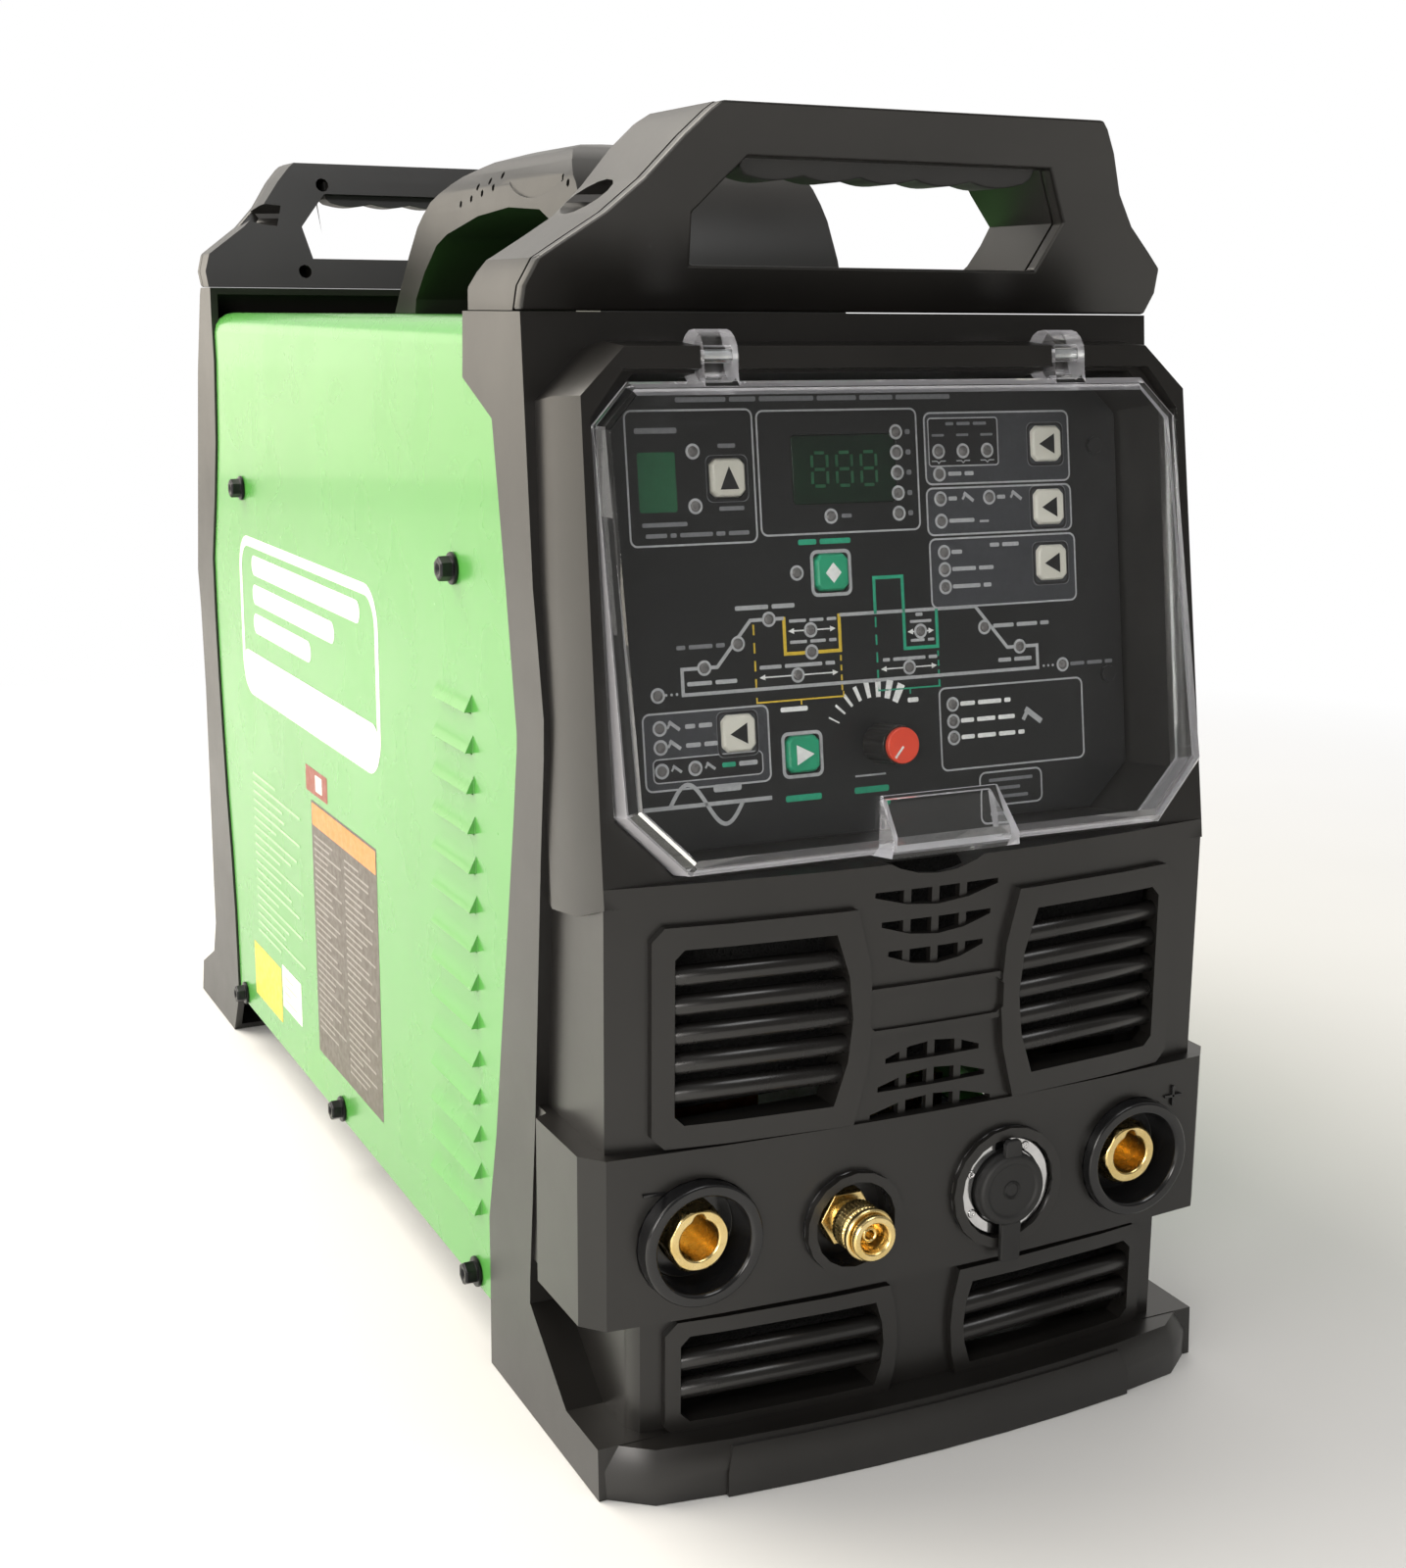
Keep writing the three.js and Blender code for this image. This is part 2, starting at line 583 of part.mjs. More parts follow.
const FRONT_HANDLE = {
  seam: FRONT_SEAM + GAP,
  face: [[47.9, 0], [43, 7.4], [38, 15], [35, 19.7], [30, 27.8], [24, 37.2], [16, 49], [10.4, 57.8]],
  back: [[60, 57.8], [65, 54.5], [69, 47], [71.4, 38], [72, 28], [75, 22], [80, 15.6], [86.9, 11.2],
    [91.6, 6], [93.1, 0]],
  grip: 29.6,
  gripLean: 9.2,
  outward: -1,
};
const REAR_HANDLE = {
  seam: REAR_SEAM + GAP,
  face: [[466.5, 0], [470, 7.4], [475, 18], [481, 30], [488, 42], [493, 50], [495.5, 57.4]],
  back: [[469, 57.4], [466.5, 50], [461, 33], [456, 18], [452, 6], [450, 0]],
  grip: 478.6,
  gripLean: 7.2,
  outward: 1,
};

function handleBody(spec) {
  const lift = (points) => points.map(([y, z]) => [y, z + spec.seam]);
  const frontView = mirrored(HANDLE_SIDE.map(([x, z]) => [x, z + spec.seam]));
  const opening = mirrored(HANDLE_OPENING.map(([x, z]) => [x, z + spec.seam]));
  const side = alongX(lift([...spec.face, ...spec.back]), -120, 120);
  const low = Math.min(...spec.face.map(([y]) => y), ...spec.back.map(([y]) => y)) - 10;
  const body = side.intersect(alongY(frontView, low, low + 130));
  return cut(body, alongY(opening, low, low + 130));
}

// The outer shell is the part within `depth` of the outward face.
function outerRegion(spec, depth) {
  const lift = (points) => points.map(([y, z]) => [y, z + spec.seam]);
  const away = spec.outward * 60;
  const near = lift(spec.face).map(([y, z]) => [y - spec.outward * depth, z]);
  const first = near[0];
  const last = near[near.length - 1];
  const far = [[last[0] + away, last[1] + 4], [first[0] + away, first[1] - 4]];
  return alongX([[first[0], first[1] - 4], ...near, [last[0], last[1] + 4], ...far], -130, 130);
}

// The slot for the grip follows the lean of the handle's outward face, behind its shell.
function gripSlot(spec, growth) {
  const seamZ = spec.seam;
  const middle = spec.grip;
  const lean = spec.outward * spec.gripLean;
  const half = GRIP_DEPTH / 2 + growth;
  const points = [
    [middle - half - lean, seamZ + 36], [middle + half - lean, seamZ + 36],
    [middle + half, seamZ + 50 + growth], [middle - half, seamZ + 50 + growth],
  ];
  return alongX(points, -GRIP_HALF - growth, GRIP_HALF + growth);
}

function screwWell(spec, x, z) {
  return rodY(3.1, 430, 480, x, spec.seam + z, 10);
}

function handleOuter(spec) {
  const shell = handleBody(spec).intersect(outerRegion(spec, SHELL_DEPTH));
  return cut(shell, gripSlot(spec, GAP));
}

// The shoulder's screw hole: a round hole sunk square into the sloping side.
function shoulderHole(spec, side) {
  const y = spec.outward < 0 ? 58 : 468;
  const hole = new THREE.CylinderGeometry(9.5, 9.5, 26, 14);
  hole.scale(1, 1, 0.52);
  hole.rotateZ(-side * THREE.MathUtils.degToRad(48));
  hole.translate(side * 86, y, spec.seam + 33);
  return solid(hole);
}

function handleInner(spec) {
  const region = outerRegion(spec, SHELL_DEPTH + GAP);
  let body = cut(handleBody(spec), region, gripSlot(spec, GAP));
  for (const side of [-1, 1]) body = cut(body, shoulderHole(spec, side));
  if (spec.outward > 0) {
    for (const side of [-1, 1]) {
      body = cut(body, screwWell(spec, side * 52.5, 47.5), screwWell(spec, side * 65.5, 7.5));
    }
  }
  return body;
}

// The soft grip: a bar in the slot whose underside has finger scallops.
function handleGrip(spec) {
  const seamZ = spec.seam;
  const length = 2 * (GRIP_HALF - 0.4);
  const points = [[-length / 2, seamZ + 49.4], [-length / 2, seamZ + 41]];
  const fingers = 5;
  const steps = 8;
  for (let i = 0; i <= fingers * steps; i += 1) {
    const share = i / (fingers * steps);
    const x = -length / 2 + 2 + share * (length - 4);
    points.push([x, seamZ + 39.2 - 1.5 * Math.abs(Math.sin(share * fingers * Math.PI))]);
  }
  points.push([length / 2, seamZ + 41], [length / 2, seamZ + 49.4]);
  const low = spec.grip - 25;
  return alongY(points, low, low + 50).intersect(gripSlot(spec, 0));
}

// ---------------------------------------------------------- cable saddle

function cableSaddle() {
  const outer = [
    [138, 352.2], [145, 372], [153, 386], [163, 397.5], [174, 406], [188, 411.2], [205, 413.6], [225, 413.8],
    [250, 412.4], [275, 408.6], [300, 403.4], [322, 397], [338, 387.5], [350, 376], [361, 364], [371, 352.2],
  ];
  const opening = [
    [345, 340], [341, 358], [329, 369], [313, 379.5], [300, 383.5], [262, 389.4], [228, 391.4], [196, 389.4],
    [181, 383.5], [169, 370], [161, 355], [158, 340],
  ];
  const section = mirrored([
    [48, 350], [47.6, 392], [46.6, 400], [44, 405.6], [39, 410], [30, 412.8], [14, 414],
  ]);
  const bridge = alongX(outer, -60, 60).intersect(alongY(section, 100, 400));
  let body = cut(bridge, alongX(opening, -60, 60));
  for (const side of [-1, 1]) {
    const x0 = side > 0 ? 46.2 : -56.2;
    const crest = new THREE.CylinderGeometry(30, 30, 10, 24);
    crest.rotateZ(Math.PI / 2).scale(1, 1, 0.36).translate(x0 + 5, 202, 404.5);
    body = cut(body, solid(crest).intersect(block(-60, 60, 160, 240, 390, 404.5)));
    body = addSaddleVents(body, side);
  }
  const foot = (y0, y1) => block(-47, 47, y0, y1, COVER_TOP + GAP, 356);
  return join(body, foot(139.5, 160), foot(343, 369));
}

function addSaddleVents(body, side) {
  let result = body;
  for (const [start, count, z0] of [[241, 3, 403.6], [247, 4, 399.4], [164, 2, 401], [170, 1, 397.4]]) {
    for (let i = 0; i < count; i += 1) {
      const y = start + 12 * i;
      const z = z0 - 0.13 * Math.abs(y - start);
      const x0 = side > 0 ? 38 : -60;
      const vent = new THREE.CylinderGeometry(1.5, 1.5, 22, 6);
      vent.rotateZ(Math.PI / 2).translate(x0 + 11, y, z);
      result = cut(result, solid(vent));
    }
  }
  return result;
}

// ---------------------------------------------------------- control panel

const BUTTONS = [
  ['button_memory', -47.8, 117.8, BEIGE_BUTTON],
  ['button_waveform', 69.0, 125.8, BEIGE_BUTTON],
  ['button_trigger_mode', 69.2, 105.2, BEIGE_BUTTON],
  ['button_pulse_mode', 69.5, 86.9, BEIGE_BUTTON],
  ['button_gas_purge', -13.2, 87.5, GREEN_BUTTON],
  ['button_start_mode', -48.7, 39.7, BEIGE_BUTTON],
  ['button_select', -26.5, 31.4, GREEN_BUTTON],
];
const FASCIA_SCREWS = [[-88, 124.7], [88, 124.7], [-90.5, 48.8], [90.5, 48.8]];

function controlFascia() {
  let body = alongZ(FASCIA_OUTLINE, -FASCIA_SHEET, 0);
  for (const [, x, y] of BUTTONS) {
    body = cut(body, alongZ(shifted(roundedRect(BUTTON_HALF + GAP, BUTTON_HALF + GAP, 1.8), x, y), -5, 5));
  }
  const [dx, dy] = DISPLAY_HALF;
  body = cut(body, alongZ(shifted(roundedRect(dx + GAP, dy + GAP, 1), ...DISPLAY_MIDDLE), -5, 5));
  body = cut(body, rodZ(4, -5, 5, KNOB_X, KNOB_UP, 20));
  for (const [x, y] of FASCIA_SCREWS) body = join(body, rodZ(2.9, -1, 1.4, x, y, 8));
  return body;
}

function displayWindow() {
  const [dx, dy] = DISPLAY_HALF;
  const lens = alongZ(roundedRect(dx, dy, 0.8), -FASCIA_SHEET, -0.2);
  return join(lens, alongZ(roundedRect(dx + 2, dy + 2, 1), -FASCIA_SHEET - 2, -FASCIA_SHEET - GAP),
    alongZ(roundedRect(dx - 1, dy - 1, 0.8), -FASCIA_SHEET - 1, -FASCIA_SHEET + 0.5));
}

// A key with a chamfered face and a flange that keeps it behind the fascia.
function keyCap() {
  const face = flaredZ(roundedRect(BUTTON_HALF - 0.7, BUTTON_HALF - 0.7, 1.4), -7, 1.6, 0.9, 0.7);
  return join(face, block(-7.2, 7.2, -7.2, 7.2, -5, -3.4));
}

function knobBody() {
  const flutes = 12;
  const points = [];
  for (let i = 0; i < 2 * flutes; i += 1) {
    const angle = i / (2 * flutes) * 2 * Math.PI;
    const radius = i % 2 === 0 ? KNOB_RADIUS : KNOB_RADIUS - 0.35;
    points.push([radius * Math.cos(angle), radius * Math.sin(angle)]);
  }
  const body = alongZ(points, 0.6, 12.8);
  return cut(body, rodZ(2.9, -1, 9, 0, 0, 16));
}

function knobCap() {
  const cap = flaredZ(roundedRect(5.1, 5.1, 5.0, 4), 12.8 - 0.2, 15.2, 0.6, 0.5);
  return cut(cap, block(-20, 20, -20, 20, 0, 13.1));
}

function encoder() {
  const shaft = rodZ(2.6, -6, 8.7, 0, 0, 16);
  const bush = rodZ(3.6, -6, 0.2, 0, 0, 16);
  return join(shaft, bush, block(-6.2, 6.2, -6.4, 6.4, -14, -5.5));
}

function panelBoard() {
  let body = alongZ(mirrored([[78, 10], [88, 20], [88, 130], [80, 138]]), -19, -17.4);
  for (const [, x, y] of BUTTONS) body = join(body, rodZ(2.2, -17.6, -9.5, x, y, 6));
  const [mx, my] = DISPLAY_MIDDLE;
  body = join(body, block(mx - 17, mx + 17, my - 9, my + 9, -17.6, -5));
  return cut(body, block(KNOB_X - 7.2, KNOB_X + 7.2, KNOB_UP - 7.4, KNOB_UP + 7.4, -30, 0));
}

// ------------------------------------------------------------ clear cover

const LID_OUTLINE = mirrored([[84.4, 2.3], [101.4, 19.5], [101.4, 133.6], [91.0, 144.5]]);

function lidShell(inset, frontDrop, back) {
  const points = LID_OUTLINE.map(([x, y]) => {
    const corner = inset * 0.41;
    const tall = y < 10 || y > 140;
    const dx = tall ? corner : inset;
    const dy = y < 10 ? inset : y > 140 ? -inset : y < 75 ? corner : -corner;
    return [x - Math.sign(x) * dx, y + dy];
  });
  const chamfer = 3;
  const shrink = chamfer * 0.7;
  const face = points.map(([x, y]) => [x - Math.sign(x) * shrink, y + (y < 75 ? shrink : -shrink)]);
  const bevel = { bevelEnabled: true, bevelSegments: 1, bevelThickness: chamfer, bevelSize: chamfer * 0.75 };
  const geometry = extruded(face, 20, bevel);
  geometry.translate(0, 0, -20 - chamfer - frontDrop);
  geometry.translate(0, -144.5, 0).rotateX(-LID_TILT).translate(0, 144.5, 1.3);
  return solid(geometry).intersect(block(-150, 150, -20, 200, back, 60));
}

function fingerTab(inset) {
  const half = 24 - inset;
  const low = 2.0 + inset;
  const high = 20 - inset;
  const profile = [[low, -4], [low, 19.5 - inset], [low + 4, 20.5 - inset], [high, 12 - inset], [high, -4]];
  const tab = alongX(profile, -half, half);
  const taper = alongZ([[-half, -10], [half, -10], [half - 5, 30], [-half + 5, 30]], -20, 40);
  return tab.intersect(taper);
}

function clearCover() {
  const outer = join(lidShell(0, 0, -3.6), fingerTab(0).intersect(block(-60, 60, 0, 60, -3.6, 40)));
  const hollowTab = fingerTab(LID_WALL).intersect(block(-60, 60, 0, 60, -10, 40));
  let body = cut(outer, lidShell(LID_WALL, LID_WALL, -10), hollowTab);
  for (const x of [-HINGE_X, HINGE_X]) {
    const x0 = x - KNUCKLE_WIDTH / 2;
    const x1 = x + KNUCKLE_WIDTH / 2;
    const knuckle = rodX(KNUCKLE_RADIUS, x0, x1, HINGE_UP, HINGE_OUT, 18);
    const arm = alongX([[142.7, -1.5], [142.7, 1.0], [146.5, 0.6], [HINGE_UP, HINGE_OUT + KNUCKLE_RADIUS - 0.1],
      [HINGE_UP, HINGE_OUT + 3], [146.8, -3.2]], x0, x1);
    body = join(body, knuckle, arm);
  }
  const clearance = rodX(PIN_RADIUS + GAP, -90, 90, HINGE_UP, HINGE_OUT, 14);
  return cut(body, clearance.intersect(block(-90, 90, 140, 160, -20, 10)));
}

function hingePin() {
  return rodX(PIN_RADIUS, -KNUCKLE_WIDTH / 2 - 4, KNUCKLE_WIDTH / 2 + 4, 0, 0, 12);
}

// ---------------------------------------------------------------- sockets

function weldShroud() {
  return turned([[15.8, -14.8], [19.2, -14.8], [19.7, -14.2], [19.7, -7.9], [17.3, -7.9], [17.3, 12], [9.9, 12],
    [9.9, -1.5], [15.8, -1.5]], 20);
}

function weldBrass() {
  const stud = [[0, 34], [5, 34], [5, 20]];
  const wall = [[9.5, 20], [9.5, -9.8], [8.9, -10.4], [6.9, -10.4], [6.5, -10], [6.5, 12], [0, 12]];
  const barrel = turned([...stud, ...wall], 18);
  const hex = rodY(11, -7, -1.8, 0, 0, 6);
  const bore = rodY(6.5, -20, 12, 0, 0, 18);
  const keyway = block(-2.1, 2.1, -20, 2, 4, 8.2);
  return cut(join(barrel, hex), bore, keyway);
}

function gasBody() {
  const tube = turned([[0, 24], [5, 24], [5, 6], [6, 5], [6, -24.4], [7.4, -24.6], [7.4, -27], [5.2, -27],
    [4.4, -26.2], [4.4, -18], [0, -18]], 16);
  return join(tube, rodY(9.6, -9.6, -4.8, 0, 0, 6));
}

// Knurled sleeve that is pulled back to let go of a hose plug.
function gasSleeve() {
  const ribs = 16;
  const points = [];
  for (let i = 0; i < 2 * ribs; i += 1) {
    const angle = i / (2 * ribs) * 2 * Math.PI;
    const radius = i % 2 === 0 ? 8.0 : 7.6;
    points.push([radius * Math.cos(angle), radius * Math.sin(angle)]);
  }
  const knurl = alongY(points, -20.4, -13);
  const ring = rodY(8.4, -24, -21.8, 0, 0, 16);
  const neck = rodY(7.2, -22, -20, 0, 0, 16);
  return cut(join(knurl, ring, neck), rodY(6.35, -30, -5, 0, 0, 16));
}

function controlShell() {
  let body = turned([[0, -7.5], [12.6, -7.5], [12.6, -13.4], [16.4, -13.4], [16.8, -13], [16.8, 8], [14, 8],
    [14, -4], [0, -4]], 20);
  for (let i = 0; i < 5; i += 1) {
    const angle = i / 5 * 2 * Math.PI;
    body = join(body, rodY(1.1, -10, -6, 6.5 * Math.cos(angle), 6.5 * Math.sin(angle), 6));
  }
  return body;
}

// Rubber dust cap on a strap that bends below the socket.
function controlCap() {
  const disc = turned([[0, -18], [12.4, -18], [13.4, -17], [13.4, -13.8], [11.6, -13.8], [11.6, -10.6],
    [9.8, -10.6], [9.8, -15], [0, -15]], 20);
  const placed = solid(geometryOf(disc).translate(CONTROL_X, 0, CONTROL_Z));
  const tabSide = [[-18, 12], [-18, 16], [-16.6, 17], [-15.6, 17], [-15.6, 12]];
  const tab = alongX(tabSide.map(([y, z]) => [y, z + CONTROL_Z]), CONTROL_X - 3, CONTROL_X + 3);
  const strap = alongX([[-18, CONTROL_Z - 12], [-18, CAP_AXIS_Z], [-16.2, CAP_AXIS_Z], [-16.2, CONTROL_Z - 12]],
    CONTROL_X - 3.6, CONTROL_X + 3.6);
  const root = rodX(2, CONTROL_X - 3.6, CONTROL_X + 3.6, CAP_AXIS_Y, CAP_AXIS_Z, 12);
  return join(placed, tab, strap, root);
}

// ----------------------------------------------------------------- screws

function flangeScrew() {
  return turned([[0, 5.4], [3.7, 5.4], [3.7, 1.2], [5.4, 1.2], [5.4, 0], [2.2, 0], [2.2, -9], [0, -9]], 8);
}

// --------------------------------------------------------------- internals

function fanFrame() {
  const outside = alongY(shifted(roundedRect(61, 61, 6), 0, FAN_Z), FAN_BACK - 36, FAN_BACK);
  let body = cut(outside, rodY(FAN_RADIUS + 1, FAN_BACK - 60, FAN_BACK + 10, 0, FAN_Z, 24));
  body = cut(body, block(-70, 70, FAN_BACK - 30, FAN_BACK - 6, FAN_Z - 45, FAN_Z + 45));
  const spokeY0 = FAN_BACK - 36;
  body = join(body, block(-58, 58, spokeY0, spokeY0 + 4, FAN_Z - 2.5, FAN_Z + 2.5));
  body = join(body, block(-2.5, 2.5, spokeY0, spokeY0 + 4, FAN_Z - 58, FAN_Z + 58));
  body = join(body, rodY(18, spokeY0, spokeY0 + 5, 0, FAN_Z, 16));
  return join(body, rodY(3, spokeY0, FAN_BACK - 12, 0, FAN_Z, 12));
}

function fanRotor() {
  let body = turned([[3.4, -24], [19, -24], [19, -4], [17, -2], [3.4, -2]], 16);
  const blades = 7;
  for (let i = 0; i < blades; i += 1) {
    const blade = new THREE.BoxGeometry(36, 2.2, 24);
    blade.rotateX(THREE.MathUtils.degToRad(38)).translate(35.5, -13, 0);
    blade.rotateY(i / blades * 2 * Math.PI);
    body = join(body, solid(blade));
  }
  return body.intersect(rodY(53.5, -30, 5, 0, 0, 28));
}

function fanGuard() {
  const thick = 2.2;
  const ring = (radius, width) => cut(rodY(radius + width, 0, thick, 0, 0), rodY(radius, -1, 3, 0, 0));
  let body = join(ring(53, 5), rodY(9, 0, thick, 0, 0, 12));
  for (const radius of [38, 23]) body = join(body, ring(radius, 2));
  for (let i = 0; i < 6; i += 1) {
    const spoke = new THREE.BoxGeometry(52, thick, thick);
    spoke.translate(28, thick / 2, 0).rotateY(i / 6 * 2 * Math.PI);
    body = join(body, solid(spoke));
  }
  return body;
}

function heatSink() {
  let body = block(-70, 70, 0, 150, 0, 8);
  const fins = 15;
  for (let i = 0; i < fins; i += 1) {
    const x = -68.5 + i * 137 / (fins - 1);
    body = join(body, block(x - 1.1, x + 1.1, 0, 150, 6, 58));
  }
  return body;
}

function mainBoard() {
  let body = block(-92, 92, 0, 230, 0, 1.8);
  const bank = [-60, -22, 18].map((x) => [x, 40, 16, 46]);
  const capacitors = [...bank, [58, 42, 14, 38], [62, 190, 9, 24]];
  for (const [x, y, radius, top] of capacitors) body = join(body, rodZ(radius, 1, top, x, y, 12));
  return join(body, block(-70, -20, 110, 170, 1, 34), block(0, 60, 100, 150, 1, 26));
}

function transformer() {
  let body = cut(block(-34, 34, 0, 58, 0, 62), block(-20, -8, -5, 70, 14, 48), block(8, 20, -5, 70, 14, 48));
  body = join(body, block(-18.6, -9, -9, 67, 15, 47), block(9, 18.6, -9, 67, 15, 47));
  return join(body, block(-19, 19, -9, 1, 15, 47), block(-19, 19, 57, 67, 15, 47));
}

function gasValve() {
  const coil = block(-15, 15, -14, 14, 14, 48);
  const stem = rodZ(7, 10, 54, 0, 0, 12);
  const pipe = rodY(5, -30, 30, 0, 8, 12);
  return join(coil, stem, pipe, block(-9, 9, -12, 12, 0, 16));
}

// ------------------------------------------------------- rear service pieces

function switchFrame() {
  const flange = alongY(roundedRect(13.6, 18.8, 2), 0.3, 2.3);
  const housing = alongY(roundedRect(11, 16, 1), -24, 1);
  const opening = alongY(roundedRect(8.6, 13.4, 0.8), -9, 10);
  return cut(join(flange, housing), opening, rodX(1.3, -12, 12, ROCKER_AXIS, 0, 8));
}

function switchRocker() {
  const underside = [[ROCKER_AXIS, -11], [-7.5, -4], [-7.5, 4], [ROCKER_AXIS, 11]];
  const face = [[4.4, 11.3], [1.8, 0], [2.4, -11.3]];
  const paddle = alongX([...underside, ...face], -8.1, 8.1);
  return join(paddle, rodX(1, -10.4, 10.4, ROCKER_AXIS, 0, 8));
}

function gasInlet() {
  const barb = turned([[0, 26], [2.4, 26], [3.4, 22], [2.8, 22], [3.9, 18], [3.2, 18], [4.4, 13], [4.4, 8],
    [8, 8], [8, 0.3], [6, 0.3], [6, -14], [0, -14]], 12);
  return cut(barb, rodY(1.6, -20, 40, 0, 0, 12));
}

function cordGland() {
  const dome = [[9, 20], [11, 17], [11, 8]];
  const flange = [[13.6, 8], [13.6, 0.3], [9, 0.3]];
  return turned([[5.4, 20], ...dome, ...flange, [9, -12], [5.4, -12]], 16);
}

// ----------------------------------------------------------------- assembly

const machine = new THREE.Group();
machine.position.set(0, -DATUM_TO_CENTRE, 0);

function addPart(name, body, look, parent = machine, position = [0, 0, 0]) {
  const mesh = new THREE.Mesh(geometryOf(body), look);
  mesh.name = name;
  mesh.position.set(...position);
  parent.add(mesh);
  return mesh;
}

addPart('front_bezel', frontBezel(), BLACK_PLASTIC);
addPart('case_cover', caseCover(), GREEN_PAINT);
addPart('base_pan', basePan(), STEEL);
addPart('rear_bezel', rearBezel(), BLACK_PLASTIC);
addPart('front_handle_shell', handleOuter(FRONT_HANDLE), BLACK_PLASTIC);
addPart('front_handle_back', handleInner(FRONT_HANDLE), BLACK_PLASTIC);
addPart('front_handle_grip', handleGrip(FRONT_HANDLE), RUBBER);
addPart('rear_handle_shell', handleOuter(REAR_HANDLE), BLACK_PLASTIC);
addPart('rear_handle_back', handleInner(REAR_HANDLE), BLACK_PLASTIC);
addPart('rear_handle_grip', handleGrip(REAR_HANDLE), RUBBER);
addPart('cable_saddle', cableSaddle(), BLACK_PLASTIC);

const panel = new THREE.Group();
panel.position.set(0, BEND_Y, BEND_Z);
panel.rotation.x = Math.PI / 2 - PANEL_LEAN;
machine.add(panel);

const fascia = new THREE.Group();
fascia.position.set(0, 0, -FASCIA_DEPTH);
panel.add(fascia);
addPart('control_fascia', controlFascia(), DARK_PANEL, fascia);
addPart('display_window', displayWindow(), DISPLAY, fascia, [...DISPLAY_MIDDLE, 0]);
for (const [name, x, y, look] of BUTTONS) addPart(name, keyCap(), look, fascia, [x, y, 0]);
addPart('knob_body', knobBody(), BLACK_PLASTIC, fascia, [KNOB_X, KNOB_UP, 0]);
addPart('knob_cap', knobCap(), RED_CAP, fascia, [KNOB_X, KNOB_UP, 0]);
addPart('encoder', encoder(), STEEL, fascia, [KNOB_X, KNOB_UP, 0]);
addPart('panel_board', panelBoard(), BOARD, fascia);

addPart('clear_cover', clearCover(), CLEAR, panel);
addPart('cover_pin_left', hingePin(), STEEL, panel, [-HINGE_X, HINGE_UP, HINGE_OUT]);
addPart('cover_pin_right', hingePin(), STEEL, panel, [HINGE_X, HINGE_UP, HINGE_OUT]);

for (const [word, x] of [['negative', -WELD_X], ['positive', WELD_X]]) {
  addPart(`weld_socket_${word}_shroud`, weldShroud(), BLACK_PLASTIC, machine, [x, 0, WELD_Z]);
  addPart(`weld_socket_${word}_brass`, weldBrass(), BRASS, machine, [x, 0, WELD_Z]);
}
addPart('gas_outlet_body', gasBody(), BRASS, machine, [GAS_X, 0, GAS_Z]);
addPart('gas_outlet_sleeve', gasSleeve(), BRASS, machine, [GAS_X, 0, GAS_Z]);
addPart('control_socket_shell', controlShell(), CHROME, machine, [CONTROL_X, 0, CONTROL_Z]);
addPart('control_socket_cap', controlCap(), RUBBER);

SIDE_SCREWS.forEach(([y, z], index) => {
  for (const [word, side] of [['left', -1], ['right', 1]]) {
    const screw = addPart(`side_screw_${word}_${index + 1}`, flangeScrew(), BLACK_STEEL);
    screw.position.set(side * (COVER_HALF + GAP), y, z);
    screw.rotation.z = -side * Math.PI / 2;
  }
});

addPart('fan_frame', fanFrame(), BLACK_PLASTIC);
addPart('fan_rotor', fanRotor(), BLACK_PLASTIC, machine, [0, FAN_BACK - 4, FAN_Z]);
addPart('fan_guard', fanGuard(), BLACK_STEEL, machine, [0, GUARD_Y, FAN_Z]);
addPart('main_board', mainBoard(), BOARD, machine, [0, 130, 240]);
addPart('heat_sink', heatSink(), ALUMINIUM, machine, [0, 200, 60]);
addPart('transformer', transformer(), COPPER, machine, [-40, 95, 22]);
addPart('gas_valve', gasValve(), BRASS, machine, [64, 120, 22]);
addPart('power_switch_frame', switchFrame(), BLACK_PLASTIC, machine, [SWITCH_X, SERVICE_FACE, SERVICE_Z]);
addPart('power_switch_rocker', switchRocker(), BLACK_PLASTIC, machine, [SWITCH_X, SERVICE_FACE, SERVICE_Z]);
addPart('gas_inlet', gasInlet(), BRASS, machine, [INLET_X, SERVICE_FACE, SERVICE_Z]);
addPart('cord_gland', cordGland(), BLACK_PLASTIC, machine, [GLAND_X, SERVICE_FACE, SERVICE_Z]);

export default machine;
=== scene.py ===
"""Looks of the welding machine: materials, softened CAD pieces, turned metal and rubber
parts, the printed control panel, case labels, floor, lights and camera.

The frame is in metres. Small shapes are written in millimetres and scaled by MM.
The panel's own axes are x across, y up the slope and z outward, in millimetres from
the middle of the panel's bend line, on the fascia's face.
"""

import math

import bmesh
import bpy
from mathutils import Matrix, Vector
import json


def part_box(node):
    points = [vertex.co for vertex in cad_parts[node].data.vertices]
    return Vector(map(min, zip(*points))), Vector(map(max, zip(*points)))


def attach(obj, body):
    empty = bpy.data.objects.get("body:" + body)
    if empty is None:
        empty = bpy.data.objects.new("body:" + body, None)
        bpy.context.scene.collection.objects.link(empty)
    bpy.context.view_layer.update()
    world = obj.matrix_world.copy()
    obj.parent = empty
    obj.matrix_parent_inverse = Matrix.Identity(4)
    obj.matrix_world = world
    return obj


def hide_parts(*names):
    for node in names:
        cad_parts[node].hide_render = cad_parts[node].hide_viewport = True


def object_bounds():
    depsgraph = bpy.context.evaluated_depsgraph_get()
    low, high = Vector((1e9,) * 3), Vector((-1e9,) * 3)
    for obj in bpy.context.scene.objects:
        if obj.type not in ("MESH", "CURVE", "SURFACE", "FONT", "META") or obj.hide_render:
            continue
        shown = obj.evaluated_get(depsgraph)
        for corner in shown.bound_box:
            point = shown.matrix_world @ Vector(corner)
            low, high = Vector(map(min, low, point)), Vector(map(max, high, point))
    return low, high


MM = 0.001
ROOT = "machine"
KNOB_PLACE = (1.5, 32.4)
PRINT_LIFT = 0.06
